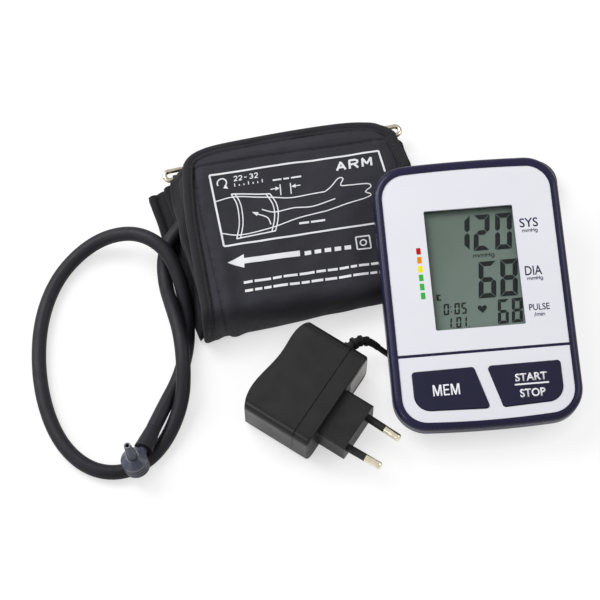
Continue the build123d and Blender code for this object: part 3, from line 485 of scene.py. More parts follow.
# %% Metal
def metal(name, color, rough, deep):
    """Metal with fine scratches along X, of the given depth in metres, and a cloudy change of gloss."""
    material, tree, shader = blank_material(name)
    shader.inputs["Metallic"].default_value = 1.0
    color = np.array(color)
    tone = spread(tree, noise(tree, 200.0), 0.0, 1.0)
    link(tree, two_tone(tree, tone, color * 0.9, np.minimum(color * 1.08, 1)), shader.inputs["Base Color"])
    link(tree, spread(tree, noise(tree, 400.0), rough * 0.7, rough * 1.4),
         shader.inputs["Roughness"])
    scratches = noise(tree, 900.0, stretch=(0.08, 1, 1)).outputs["Fac"]
    link(tree, bump(tree, scratches, deep), shader.inputs["Normal"])
    return material


steel = metal("steel", (0.62, 0.62, 0.64), 0.35, 0.000012)
wire_chrome = metal("ring_chrome", (0.64, 0.58, 0.45), 0.15, 0.000002)
pin_plating = metal("pin_plating", (0.90, 0.82, 0.64), 0.13, 0.0000012)
silver_film = metal("silver_film", (0.60, 0.58, 0.57), 0.42, 0.000014)
give(steel, "board_screws", "case_screws", "battery_springs", "battery_contact_plates", "pump_motor",
     "pump_eccentric", "valve_plunger")
give(wire_chrome, "cuff_ring")
give(pin_plating, "plug_pins", "dc_plug_barrel")
give(silver_film, "adapter_label")
print("metals", [metal_finish.name for metal_finish in (steel, wire_chrome, pin_plating, silver_film)])

# %% [markdown]
# ## The cuff: where the cloth lies
#
# The cuff is a long padded strap of black nylon, folded up for storage.  On top lies its printed flap.
# At the near side the flap turns down round a soft fold to the table, and under it lie the other
# layers.  Everything on the flap (its edge tape, seams and print) is drawn on the flat cloth first and
# then carried onto the folded one, so one function says where the cloth lies.

# %% The folded cloth
NEAR_LEFT, NEAR_RIGHT = (-138.0, -5.5), (-45.0, 8.5)      # the near fold's front, in plan
FOLD_R = 9.0                                # the fold's half depth in plan
FOLD_SHARE = 0.6                            # the fold's half height, as a share of the flap's height
FOOT_Z = 0.5                                # how far above the table the fold ends
TOP_Z, TOP_AT = 34.0, (-143.0, 76.0)        # the flap's height at a place near its far left corner
FALL, RISE = 0.156, 0.03                    # its slopes to the right and away


def crest(x):
    """Y of the line where the flat cloth starts to turn down: the fold's front plus its half depth."""
    slope = (NEAR_RIGHT[1] - NEAR_LEFT[1]) / (NEAR_RIGHT[0] - NEAR_LEFT[0])
    return NEAR_LEFT[1] + slope * (x - NEAR_LEFT[0]) + FOLD_R


def flap_height(x, y):
    """The flap is a plane that falls gently to the right, where the cuff is thinner."""
    return TOP_Z - FALL * (x - TOP_AT[0]) + RISE * (y - TOP_AT[1])


def foot(x):
    """Place along the cloth, past the crest, at which the fold reaches the table."""
    rise = flap_height(x, crest(x))
    turn = np.arccos((FOOT_Z - (1 - FOLD_SHARE) * rise) / (FOLD_SHARE * rise))
    return -turn * (FOLD_R + FOLD_SHARE * rise) / 2


def on_flap(x, s, lift=0.0):
    """Flat cloth to folded cloth.  x runs across, s runs up the cloth from the crest.  Past the crest the
    cloth follows an ellipse whose half axes are the fold's.  lift is along the normal."""
    x, s, lift = np.broadcast_arrays(np.asarray(x, float), s, lift)
    rise = flap_height(x, crest(x))
    tall = FOLD_SHARE * rise
    turn = np.maximum(-s, 0) / ((FOLD_R + tall) / 2)
    y = crest(x) + np.maximum(s, 0) - FOLD_R * np.sin(turn)
    z = np.where(s >= 0, flap_height(x, y), (1 - FOLD_SHARE) * rise + tall * np.cos(turn))
    normal = np.stack([FALL * np.cos(turn), -tall * np.sin(turn), FOLD_R * np.cos(turn)], axis=-1)
    normal /= np.linalg.norm(normal, axis=-1)[..., None]
    return np.stack([x, y, z], axis=-1) + normal * lift[..., None]


print(f"flap height, left {flap_height(-143, 70):.1f}, right {flap_height(-40, 90):.1f} mm")


# %% [markdown]
# Outlines and drawn lines are short lists of points.  A Catmull-Rom curve goes through every point that
# it is given, so the points say where the edge is, and even spacing keeps the faces alike in size.  The
# unevenness of real cloth comes from a few sines with headings and lengths drawn from a seeded generator.

# %% Smooth lines and swells
def smooth_line(points, count, closed=False):
    """Catmull-Rom curve through the points, then spaced evenly by length."""
    points = np.array(points, float)
    if closed:
        padded = np.r_[points[-1:], points, points[:2]]
    else:
        padded = np.r_[2 * points[:1] - points[1:2], points, 2 * points[-1:] - points[-2:-1]]
    t = np.linspace(0, 1, 24, endpoint=False)[None, :, None]
    a, b, c, d = (padded[k:len(padded) - 3 + k][:, None] for k in range(4))
    dense = 0.5 * (2 * b + (c - a) * t + (2 * a - 5 * b + 4 * c - d) * t ** 2
                   + (3 * b - a - 3 * c + d) * t ** 3)
    dense = dense.reshape(-1, points.shape[1])
    dense = np.r_[dense, points[:1] if closed else points[-1:]]
    length = run_along(dense)
    where = np.linspace(0, length[-1], count, endpoint=not closed)
    return np.stack([np.interp(where, length, dense[:, k]) for k in range(points.shape[1])], axis=-1)


def waves(x, y, seed, low, high, count=7):
    """Uneven swell between about -1 and 1: a sum of sines with wavelengths from low to high, in mm."""
    chance = np.random.default_rng(seed)
    total = np.zeros(np.broadcast(x, y).shape)
    for _ in range(count):
        heading, phase = chance.uniform(0, np.pi), chance.uniform(0, 2 * np.pi)
        pitch = chance.uniform(low, high)
        total += np.sin(2 * np.pi * (x * np.cos(heading) + y * np.sin(heading)) / pitch + phase)
    return total / np.sqrt(2 * count)


def ramp(value, start, end):
    """Zero before start, one past end, and a smooth S between them."""
    t = np.clip((value - start) / (end - start), 0, 1)
    return t * t * (3 - 2 * t)


# %% [markdown]
# ## The flap's outline
#
# Three edges of the flap are bound with tape: left, far and right.  The fourth goes round the near
# fold.  A Coons patch fills such an outline: it adds the two surfaces that are ruled between opposite
# edges, and takes away the one that is ruled between the four corners.

# %% Outline of the flap on the flat cloth, as (x, s)
LEFT_EDGE = [(-143.6, 70.3), (-143.6, 60.0), (-143.3, 47.0), (-142.2, 34.0), (-141.1, 22.0), (-139.9, 9.0),
             (-138.9, 0.0)]
FAR_EDGE = [(-143.6, 70.3), (-142.7, 79.0), (-140.7, 82.7), (-136.8, 85.9), (-127.7, 88.6), (-108.6, 90.1),
            (-80.0, 91.2), (-56.5, 91.0), (-42.8, 89.0), (-38.6, 87.0), (-34.6, 84.7), (-30.8, 81.2)]
RIGHT_EDGE = [(-30.8, 80.9), (-29.2, 74.4), (-27.7, 69.5), (-26.3, 64.7), (-25.6, 60.5), (-27.0, 57.0),
              (-31.0, 54.6), (-36.5, 52.6), (-41.0, 49.5), (-44.0, 43.5), (-45.0, 32.0), (-45.0, 0.0)]
ACROSS, ALONG, DOWN = 201, 161, 45           # grid lines across, up to the crest, and down the fold

ends_dense = (1 - np.cos(np.linspace(0, np.pi, ACROSS))) / 2
u = (0.6 * ends_dense + 0.4 * np.linspace(0, 1, ACROSS))[None, :, None]
t = np.linspace(0, 1, ALONG)[:, None, None] ** 1.15


def pick(line, share):
    """Points at shares of the line's length."""
    return np.stack([np.interp(share, np.linspace(0, 1, len(line)), line[:, k]) for k in (0, 1)], axis=-1)


far = pick(smooth_line(FAR_EDGE, 900), u[0, :, 0])[None]
left = pick(smooth_line(LEFT_EDGE, 600), t[:, 0, 0])[:, None]
right = pick(smooth_line(RIGHT_EDGE, 600), t[:, 0, 0])[:, None]
near = left[-1:] * (1 - u) + right[-1:] * u
corners = ((1 - t) * ((1 - u) * far[:, :1] + u * far[:, -1:])
           + t * ((1 - u) * near[:, :1] + u * near[:, -1:]))
plain = (1 - t) * far + t * near + (1 - u) * left + u * right - corners
down = np.linspace(0, 1, DOWN)[1:, None]
x_down = np.broadcast_to(near[0, :, 0], (DOWN - 1, ACROSS))
fold = np.stack([x_down, down * foot(x_down)], axis=-1)
flat_flap = np.concatenate([plain, fold])   # every grid point on the flat cloth
TAPE_END_S = 58.0                           # on the right the tape ends here, under the monitor's edge
bound_right = flat_flap[flat_flap[:, -1, 1] > TAPE_END_S, -1]
edge_line = np.concatenate([flat_flap[::-1, 0], flat_flap[0, 1:-1], bound_right])
edge_line = smooth_line(edge_line[::5], 800)
print("flap grid", flat_flap.shape, "bound edge", round(line_length(edge_line)), "mm")


# %% [markdown]
# ## The flap's relief
#
# Close to the tape the padding is pressed flat by a seam; further in it puffs up.  A second seam runs
# across, a finger's breadth below the far edge, and a third runs down near the left edge.  The cloth
# also sags over the far side, and a few soft creases run down into the near fold.  All of this is one
# height over the flat cloth.

# %% Distance to the edge, and the relief
def edge_distance(x, s):
    """Distance from the bound edge for points of the flat cloth, a few thousand at a time."""
    points = np.stack([x, s], axis=-1).reshape(-1, 2)
    gaps = [((block[:, None] - edge_line[None]) ** 2).sum(-1).min(1) for block in np.array_split(points, 20)]
    return np.sqrt(np.concatenate(gaps)).reshape(x.shape)


TAPE_W = 4.8                                # width of the edge tape
SEAM_S = 77.0                               # the cross seam's place up the cloth
SEAM_CORNER_X = -138.6                      # the left seam meets the cross seam here
STITCH = 2.6                                # pitch of the stitches
# height, then place across, lean, width, and where along the cloth a crease fades in and out
CREASES = [(0.9, -125.0, -0.10, 3.4, -22, 48), (-0.8, -117.5, -0.13, 5.0, -25, 42),
           (0.6, -97.0, 0.12, 7.0, -28, 30), (-0.4, -70.0, 0.10, 8.0, -25, 25)]


def side_seam_x(s):
    """The left-hand seam runs down the cloth, nearly along the edge."""
    return SEAM_CORNER_X + 0.128 * (SEAM_S - s) - 0.05 * np.maximum(-s, 0)


def crease(x, s, x0, lean, width, low, high):
    """A soft ridge that runs down the cloth: a bell across x, faded in and out along s."""
    return np.exp(-((x - x0 - lean * s) / width) ** 2) * ramp(s, low, low + 18) * ramp(s, high, high - 25)


def relief(x, s, d):
    """Height of the outer cloth: pressed at the seams, puffed between them, with folds and creases.  Every
    seam is a narrow and a wide bell, exp(-(distance / width) ** 2), taken off the height."""
    inside = ramp(d, TAPE_W - 0.3, TAPE_W + 6.0)
    pucker = np.sin(2 * np.pi * (x + s) / (2 * STITCH))
    side_seam = np.abs(x - side_seam_x(s)) + 50 * ramp(s, SEAM_S, SEAM_S + 1)
    slack = 1 - ramp(s, -4, -22)            # round the near fold the padding is drawn tight
    height = slack * inside * (1.5 + 0.5 * waves(x, s, 3, 28, 75) + 0.22 * waves(x, s, 11, 9, 20))
    height -= (0.75 + 0.15 * pucker) * np.exp(-((d - TAPE_W - 0.5) / 0.7) ** 2) * (0.4 + 0.6 * slack)
    cross = ramp(d, TAPE_W, TAPE_W + 3)
    height -= (0.95 + 0.2 * pucker) * np.exp(-((s - SEAM_S) / 0.8) ** 2) * cross
    height -= 0.7 * np.exp(-((s - SEAM_S) / 5.0) ** 2) * cross
    height -= (0.8 + 0.2 * pucker) * np.exp(-(side_seam / 0.8) ** 2) * (0.4 + 0.6 * slack)
    height -= 0.5 * np.exp(-(side_seam / 4.0) ** 2) * slack
    height -= 2.2 * ramp(s, 74, 92) ** 1.5  # the far side droops
    for tall, *where in CREASES:
        height += tall * crease(x, s, *where) * inside
    ripple = np.exp(-((x + 127.0) / 9.0) ** 2) * ramp(s, -12, -30)
    height += 0.75 * np.cos(2 * np.pi * (x + 122.0) / 12.5) * ripple
    height += 0.3 * ramp(s, -5, -25) * waves(x, s, 5, 14, 34) * ramp(d, 4, 12)
    return height


flap_x, flap_s = flat_flap[..., 0], flat_flap[..., 1]
flap_d = edge_distance(flap_x, flap_s)
flap_relief = relief(flap_x, flap_s, flap_d)
print("relief from", flap_relief.min().round(2), "to", flap_relief.max().round(2), "mm")

# %% [markdown]
# ## Woven nylon
#
# The weave crosses over and under at every thread, so its height is the product of two sines of the
# flat cloth's coordinates, which the UV map carries in metres.  The same height scales the colour: the
# threads' crowns are painted paler and the hollows between them darker, as painted highlight and shade.
# Slow noise makes some patches a little dustier, and a thin sheen stands for the fibres that catch light
# at a low angle.


# %% Cloth finish
def woven(name, color, pitch, rough, from_uv=True, depth=0.00005):
    """Plain weave: height is depth times sin(2 pi x / pitch) times sin(2 pi y / pitch); the same height
    paints the colour paler on the crowns and darker in the hollows, as painted highlight and shade.
    """
    material, tree, shader = blank_material(name)
    place = node(tree, "ShaderNodeTexCoord")
    vector = place.outputs["UV" if from_uv else "Object"]
    parts = node(tree, "ShaderNodeSeparateXYZ", {0: vector})
    threads = [sums(tree, "SINE", sums(tree, "MULTIPLY", parts.outputs[axis], 2 * np.pi / (pitch * MM)))
               for axis in ("X", "Y")]
    weave = sums(tree, "MULTIPLY", *threads)
    color = np.array(color)
    dust = spread(tree, noise(tree, 28.0, 5.0), 0.0, 1.0)
    dusty = two_tone(tree, dust, color * 0.86, color * 1.16)
    # painted highlight and shade: the weave's height makes the thread crowns paler and the hollows darker
    weave_painted_light = carry(tree, weave, -1.0, 1.0, 0.8, 1.15)
    shaded = node(tree, "ShaderNodeMix", {0: 1.0}, data_type="RGBA", blend_type="MULTIPLY")
    link(tree, dusty, shaded.inputs["A"])
    link(tree, weave_painted_light, shaded.inputs["B"])
    link(tree, shaded.outputs["Result"], shader.inputs["Base Color"])
    link(tree, spread(tree, noise(tree, 260.0, 5.0), rough - 0.08, rough + 0.08),
         shader.inputs["Roughness"])
    soft = bump(tree, noise(tree, 420.0, 4.0, 0.6).outputs["Fac"], 0.00012)
    link(tree, bump(tree, weave, depth, normal=soft), shader.inputs["Normal"])
    shader.inputs["Specular IOR Level"].default_value = 0.14
    shader.inputs["Sheen Weight"].default_value = 0.08
    shader.inputs["Sheen Roughness"].default_value = 0.45
    return material


nylon = woven("cuff_nylon", (0.0285, 0.0285, 0.0360), 0.6, 0.56)
tape = woven("cuff_tape", (0.0215, 0.0215, 0.0245), 0.9, 0.66, depth=0.00008)
inner_cloth = woven("cuff_inner_cloth", (0.0155, 0.0155, 0.0175), 0.7, 0.7, from_uv=False)
print("cloths", [cloth.name for cloth in (nylon, tape, inner_cloth)])


# %% [markdown]
# ## The flap
#
# A sheet with thickness is two grids, outside and inside, joined by a strip round their border.  The
# inside lies a few millimetres under the outside, and closer to it near the edges.

# %% Shell of two grids
def shell(name, outer, inner, flat, material):
    """Closed shell: the outer grid, the inner grid turned over, and a strip of quads round the border."""
    rows, columns = outer.shape[:2]
    top = grid_quads(rows, columns)[:, ::-1]
    under = grid_quads(rows, columns, first=rows * columns)
    number = np.arange(rows * columns).reshape(rows, columns)
    rim = np.concatenate([number[0, :-1], number[:-1, -1], number[-1, :0:-1], number[:0:-1, 0]])
    after = np.roll(rim, -1)
    strip = np.stack([rim, after, after + rows * columns, rim + rows * columns], axis=1)
    vertices = np.concatenate([outer.reshape(-1, 3), inner.reshape(-1, 3)])
    faces = np.concatenate([top, under, strip])
    uv = np.tile(flat.reshape(-1, 2), (2, 1))[faces.ravel()]
    return new_mesh(name, vertices, faces, material, uv=[uv])


flap_thick = 1.7 + 2.0 * ramp(flap_d, 2.0, 9.0)      # thin at the bound edge, thicker where it is padded
flap = shell("cuff_flap_cloth", on_flap(flap_x, flap_s, flap_relief),
             on_flap(flap_x, flap_s, np.minimum(flap_relief, 0) - flap_thick), flat_flap, nylon)
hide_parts("cuff_flap")
print("flap", len(flap.data.polygons), "faces")

# %% [markdown]
# ## Edge tape
#
# The tape is folded over the raw edge and sewn through, so its section is a flattened U that wraps the
# edge: it is carried along the bound edge, with one side on top of the flap and the other under it.

# %% Tape along the bound edge
# the section, as (distance in from the edge, height): out over the top, round the edge and back
TAPE_SECTION = np.array([(4.8, -0.5), (4.9, 0.15), (4.6, 0.5), (4.1, 0.42), (3.7, 0.2), (3.3, 0.5),
                         (2.4, 0.8), (1.4, 0.85), (0.5, 0.6), (-0.2, 0.0), (-0.5, -0.8), (-0.3, -1.7),
                         (0.4, -2.3), (1.8, -2.6), (3.6, -2.6), (4.8, -2.4)])
TAPE_SEAM = 3.7                             # the tape's seam, in from the edge
tape_line = smooth_line(edge_line, 520)
heading = unit(np.gradient(tape_line, axis=0))
inward = np.stack([heading[:, 1], -heading[:, 0]], axis=-1)
tape_run = np.linspace(0, line_length(edge_line), len(tape_line))
tape_flat = tape_line[:, None] + inward[:, None] * TAPE_SECTION[None, :, :1]
gather = 0.10 * np.sin(2 * np.pi * tape_run / STITCH)[:, None]
gather = gather * np.exp(-((TAPE_SECTION[:, 0] - TAPE_SEAM) / 0.8) ** 2)
slack = 0.25 * waves(tape_line[:, :1], tape_line[:, 1:], 21, 12, 40) * (TAPE_SECTION[:, 1] > 0.3)
tape_base = relief(tape_line[:, :1], tape_line[:, 1:], np.zeros((len(tape_line), 1)))
tape_height = TAPE_SECTION[None, :, 1] + gather + slack + tape_base
tape_grid = on_flap(tape_flat[..., 0], tape_flat[..., 1], tape_height)
rows, columns = tape_grid.shape[:2]
tape_faces = grid_quads(rows, columns, wrap=True)
tape_uv = np.stack(np.broadcast_arrays(run_along(TAPE_SECTION), tape_run[:, None]), axis=-1).reshape(-1, 2)
tape_ends = [np.arange(columns)[::-1], (rows - 1) * columns + np.arange(columns)]
binding = new_mesh("cuff_edge_tape", tape_grid.reshape(-1, 3), [*tape_faces, *tape_ends], tape,
                   uv=[tape_uv[tape_faces.ravel()], tape_uv[np.concatenate(tape_ends)]])
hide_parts("cuff_binding")
print("edge tape", round(tape_run[-1]), "mm long")

# %% [markdown]
# ## Stitches
#
# Every stitch is a short spindle of thread that lies along the seam: six sides and three rings, so
# that hundreds of them stay light.  They are one mesh.


# %% Rows of stitches
def stitches(name, middle, ahead, out, material, long=1.7, thick=0.28):
    """Spindles at the given places.  A station is a share of the length along ahead, and a share of the
    radius, which turns from across to out."""
    across = np.cross(ahead, out)
    angle = np.linspace(0, 2 * np.pi, 6, endpoint=False)
    ring = np.cos(angle)[:, None, None] * across + np.sin(angle)[:, None, None] * out
    stations = [(-0.5, 0.35), (-0.25, 1.0), (0.25, 1.0), (0.5, 0.35)]
    layers = [middle + ahead * long * a + ring * thick * r / 2 for a, r in stations]
    points = np.stack(layers, axis=0).transpose(2, 0, 1, 3)      # stitch, station, side, xyz
    quads = np.concatenate([grid_quads(4, 6, wrap=True, first=24 * k) for k in range(len(middle))])
    ends = [24 * k + np.arange(6)[::-1] for k in range(len(middle))]
    ends += [24 * k + 18 + np.arange(6) for k in range(len(middle))]
    return new_mesh(name, points.reshape(-1, 3), [*quads, *ends], material)


def seam_on_flap(name, line, lift, material):
    """Stitches at an even pitch along a line of the flat cloth."""
    run = run_along(line)
    where = np.arange(STITCH, run[-1] - STITCH, STITCH)
    place, ahead_place = (np.stack([np.interp(where + step, run, line[:, k]) for k in (0, 1)], axis=-1)
                          for step in (-0.4, 0.4))
    height = lift(place[:, 0], place[:, 1])
    low_end, high_end = on_flap(*place.T, height), on_flap(*ahead_place.T, height)
    out = on_flap(*place.T, height + 1.0) - low_end
    return stitches(name, (low_end + high_end) / 2, unit(high_end - low_end), out, material)


def on_tape(x, s):
    """Height of a stitch that lies on the tape."""
    return 0.3 + relief(x, s, np.zeros(len(x)))


def on_cloth(x, s):
    """Height of a stitch that lies in a seam of the flap."""
    return 0.1 + relief(x, s, edge_distance(x, s))


thread = moulded("cuff_thread", (0.03, 0.03, 0.033), 0.6, 4000, 0.00003)
cross_x = np.linspace(SEAM_CORNER_X, -37.0, 200)
side_s = np.linspace(SEAM_S, -26.0, 200)
for name, line, lift in (("tape_stitches", tape_line + inward * TAPE_SEAM, on_tape),
                         ("cross_stitches", np.stack([cross_x, np.full(200, SEAM_S)], axis=-1), on_cloth),
                         ("side_stitches", np.stack([side_seam_x(side_s), side_s], axis=-1), on_cloth)):
    seam = seam_on_flap(name, line, lift, thread)
    print(name, len(seam.data.vertices) // 24)


# %% [markdown]
# ## The print on the flap
#
# The flap carries a white screen print: a framed drawing that shows how the cuff sits on the arm, an
# arrow that marks its edge, and lines of small print, which stay plain dashes here.  Screen ink is a
# thin film, so every line is a flat strip that follows the cloth, a tenth of a millimetre above it.

# %% Strips of ink on the cloth
INK_LOW, INK_TOP = 0.06, 0.16               # the film's underside and top above the cloth


def square_to(line):
    """Unit vectors to the left of a flat line's heading."""
    ahead = unit(np.gradient(line, axis=0))
    return np.stack([-ahead[:, 1], ahead[:, 0]], axis=-1)


def ink_strips(name, strips, material):
    """One mesh of strips.  A strip is its points on the flat cloth and its width, one number or one for
    each point; its section is a thin rectangle carried along the points, square to them."""
    vertices, faces, first = [], [], 0
    for points, width in strips:
        points = np.array(points, float)
        run = run_along(points)
        where = np.unique(np.r_[run, np.arange(0, run[-1], 1.4)].round(6))
        line = np.stack([np.interp(where, run, points[:, k]) for k in (0, 1)], axis=-1)
        half = np.interp(where, run, np.broadcast_to(width, len(points))) / 2
        side = square_to(line) * half[:, None]
        d = edge_distance(*line.T)
        corners = [(line + side, INK_TOP), (line - side, INK_TOP), (line - side, INK_LOW),
                   (line + side, INK_LOW)]
        rings = [on_flap(*flat.T, relief(*flat.T, d) + lift) for flat, lift in corners]
        vertices.append(np.stack(rings, axis=1).reshape(-1, 3))
        n = len(line)
        faces += list(grid_quads(n, 4, wrap=True, first=first))
        faces += [first + np.arange(4)[::-1], first + 4 * (n - 1) + np.arange(4)]
        first += 4 * n
    new_mesh(name, np.concatenate(vertices), faces, material, smooth=False)


def curve_through(*points, count=24):
    """A smooth drawn line through points of the flat cloth."""
    return smooth_line(points, count)


def ring_round(middle, radius, turns):
    """Part of a circle on the flat cloth, at the given angles."""
    return np.stack([middle[0] + radius * np.cos(turns), middle[1] + radius * np.sin(turns)], axis=-1)


def letter_strips(shapes, low_left, size, pitch, width):
    """Letters as strokes in a unit square, set side by side at an even pitch."""
    low_left, size = np.array(low_left, float), np.array(size, float)
    return [(np.array(stroke) * size + low_left + (k * pitch, 0), width)
            for k, strokes in enumerate(shapes) for stroke in strokes]


print_ink = moulded("cuff_print_ink", (0.80, 0.80, 0.83), 0.6, 3000, 0.00002, 0.05, 0.2)

# %% Frame and drawing
# each line of the drawing is its points, then its width; an arrowhead is a line that narrows to a point
FRAME = [(-44.6, 30.0), (-125.4, 30.3), (-130.0, 70.6), (-40.7, 70.3), (-38.4, 58.0)]
ARM_TOP = curve_through((-128.0, 55.6), (-118.0, 56.6), (-100.0, 53.4), (-88.0, 51.4), (-71.0, 51.8))
ARM_LOW = curve_through((-126.3, 37.6), (-116.0, 35.2), (-101.0, 36.4), (-86.0, 39.4), (-71.0, 41.0))
HAND = curve_through((-71.0, 51.8), (-67.5, 54.2), (-63.4, 58.2), (-60.8, 57.6), (-62.6, 54.0),
                     (-58.0, 53.4), (-48.4, 52.8), (-46.6, 50.8), (-50.0, 48.6), (-46.8, 46.4),
                     (-51.0, 44.8), (-60.0, 43.4), (-71.0, 41.0), count=48)
BAND_LEFT = curve_through((-119.6, 58.4), (-117.0, 52.0), (-116.6, 42.0), (-118.6, 33.4), count=12)
BAND_RIGHT = curve_through((-99.6, 55.2), (-96.6, 49.0), (-96.4, 42.0), (-98.4, 34.4), count=12)
HEM_LEFT, HEM_RIGHT = BAND_LEFT + (1.9, -0.1), BAND_RIGHT - (1.9, 0.1)
TUBE_DRAWN = curve_through((-104.5, 47.4), (-98.0, 45.0), (-88.0, 45.4), (-78.0, 44.6), (-66.0, 47.0))
HOSE_WAY = curve_through((-100.5, 38.4), (-102.0, 42.6), (-107.2, 45.4), count=10)
drawing = [([FRAME[k], FRAME[k + 1]], 1.0) for k in range(len(FRAME) - 1)]
drawing += [(line, 0.6) for line in (ARM_TOP, ARM_LOW, HAND, BAND_LEFT, BAND_RIGHT, HEM_LEFT, HEM_RIGHT,
                                     TUBE_DRAWN, HOSE_WAY)]
drawing.append(([(-106.8, 45.2), (-109.6, 46.8)], [2.2, 0.1]))
drawing += [([(x, 36.2 - 0.02 * (x + 80)), (x + long, 36.1 - 0.02 * (x + 80))], 1.1)
            for x, long in ((-86.0, 5.2), (-79.8, 7.4))]
drawing += [([(x, 62.4), (x + long, 62.4)], 0.9) for x, long in ((-97.6, 4.6), (-92.0, 3.0), (-88.0, 5.4))]
drawing += [([BAND_LEFT[0], BAND_RIGHT[0]], 0.7), ([BAND_LEFT[-1], BAND_RIGHT[-1]], 0.7)]
for x, way in ((-94.0, 1), (-88.6, -1)):    # two arrows mark the gap between the band's hem and the elbow
    drawing.append(([(x, 53.6), (x, 59.6)], 0.6))
    drawing.append(([(x - 5.2 * way, 57.6), (x - 2.4 * way, 57.6)], 0.5))
    drawing.append(([(x - 2.6 * way, 57.6), (x - 0.4 * way, 57.6)], [2.2, 0.1]))
drawing.append((ring_round((-123.9, 65.4), 2.4, np.radians(np.linspace(-60, 210, 16))), 0.7))
drawing.append(([(-122.7, 63.3), (-120.9, 61.7)], [2.2, 0.1]))
ink_strips("print_frame_and_arm", drawing, print_ink)

# %% Arrow, marks and letters
# each letter is a list of strokes in a unit square
LETTER = {"A": [[(0, 0), (0.5, 1), (1, 0)], [(0.22, 0.34), (0.78, 0.34)]],
          "R": [[(0, 0), (0, 1), (0.62, 1), (0.92, 0.86), (0.92, 0.64), (0.62, 0.5), (0, 0.5)],
                [(0.5, 0.5), (0.96, 0)]],
          "M": [[(0, 0), (0, 1), (0.5, 0.3), (1, 1), (1, 0)]],
          "2": [[(0, 0.84), (0.3, 1), (0.75, 1), (1, 0.78), (0.9, 0.5), (0, 0), (1, 0)]],
          "3": [[(0, 0.9), (0.4, 1), (0.95, 0.86), (0.9, 0.6), (0.45, 0.53), (0.98, 0.4), (0.95, 0.14),
                 (0.5, 0), (0, 0.1)]],
          "5": [[(0.95, 1), (0.1, 1), (0.05, 0.55), (0.6, 0.62), (0.98, 0.38), (0.9, 0.1), (0.45, 0),
                 (0, 0.08)]]}
marks = letter_strips([LETTER[c] for c in "ARM"], (-63.6, 62.6), (4.6, 4.7), 6.9, 1.15)
for place, digits in ((-117.6, "22"), (-109.4, "32")):
    marks += letter_strips([LETTER[c] for c in digits], (place, 65.4), (1.7, 2.5), 2.5, 0.5)
marks.append(([(-112.2, 66.6), (-110.9, 66.6)], 0.5))
marks += [([(x, 62.2), (x, 62.2 + tall)], 0.5)
          for x, tall in zip(np.arange(-117.4, -103.0, 2.4), (1.8, 1, 1, 1.8, 1, 1, 1.8))]
marks.append(([(-87.0, 20.1), (-116.0, 20.6)], 3.0))
marks.append(([(-115.8, 20.6), (-124.2, 20.9)], [7.4, 0.15]))
SQUARE = [(-57.5, 24.0), (-50.3, 23.8), (-50.0, 16.8), (-57.2, 17.0), (-57.5, 24.0)]
marks += [([SQUARE[k], SQUARE[k + 1]], 0.75) for k in range(4)]
marks.append((ring_round((-53.8, 20.4), 1.6, np.linspace(0, 2 * np.pi, 17)), 0.7))
marks += [([(x, 19.6 - 0.03 * (x + 85)), (x + 3.4, 19.5 - 0.03 * (x + 85))], 2.2)
          for x in (-84.6, -79.4, -74.2, -69.0, -63.8)]
ink_strips("print_arrow_and_marks", marks, print_ink)

# %% Small print as plain dashes
chance = np.random.default_rng(8)
dashes = []
for left_end, right_end in (((-116.9, 9.0), (-45.4, 7.8)), ((-116.6, 4.5), (-46.2, 2.8))):
    left_end, right_end = np.array(left_end), np.array(right_end)
    x = left_end[0]
    while x < right_end[0] - 2:
        long = min(chance.uniform(2.6, 8.5), right_end[0] - x)
        share = (np.array([x, x + long]) - left_end[0]) / (right_end[0] - left_end[0])
        dashes.append((left_end + (right_end - left_end) * share[:, None], 1.35))
        x += long + 1.0
ink_strips("print_small_lines", dashes, print_ink)
print("ink strips", len(drawing) + len(marks) + len(dashes))

# %% [markdown]
# ## The layers under the flap
#
# Seen from the left the strap is a stack of plies: each ply's edge bulges a little, with a dark line
# between it and the next.  A stack is its outline in plan, carried towards its middle: every point of
# the section is a distance in from the outline and a share of the height between bottom and top.


# %% Stack of plies
INNER_SHARES = (0.35, 0.6, 0.82)            # rings further in, as shares of the way to the middle


def ply_section(plies, bulge, folds):
    """Section from the bottom, up the scalloped side and in over the top, past a seam 4.9 mm in.  A pair is
    (distance in, share of the height), and folds are more distances in, for folds in the top."""
    turn = np.linspace(0, np.pi, 9)[1:-1]
    side = [(bulge * (1 - np.sin(a)), (i + (1 - np.cos(a)) / 2) / plies) for i in range(plies) for a in turn]
    bottom = [(bulge * 2.2, 0.0)]
    top = [(bulge * 1.6, 1.0), (4.1, 1.0), (4.9, 0.93), (5.7, 1.0), (9.0, 1.04)]
    return np.array(bottom + side + sorted(top + [(d, 1.0) for d in folds]))


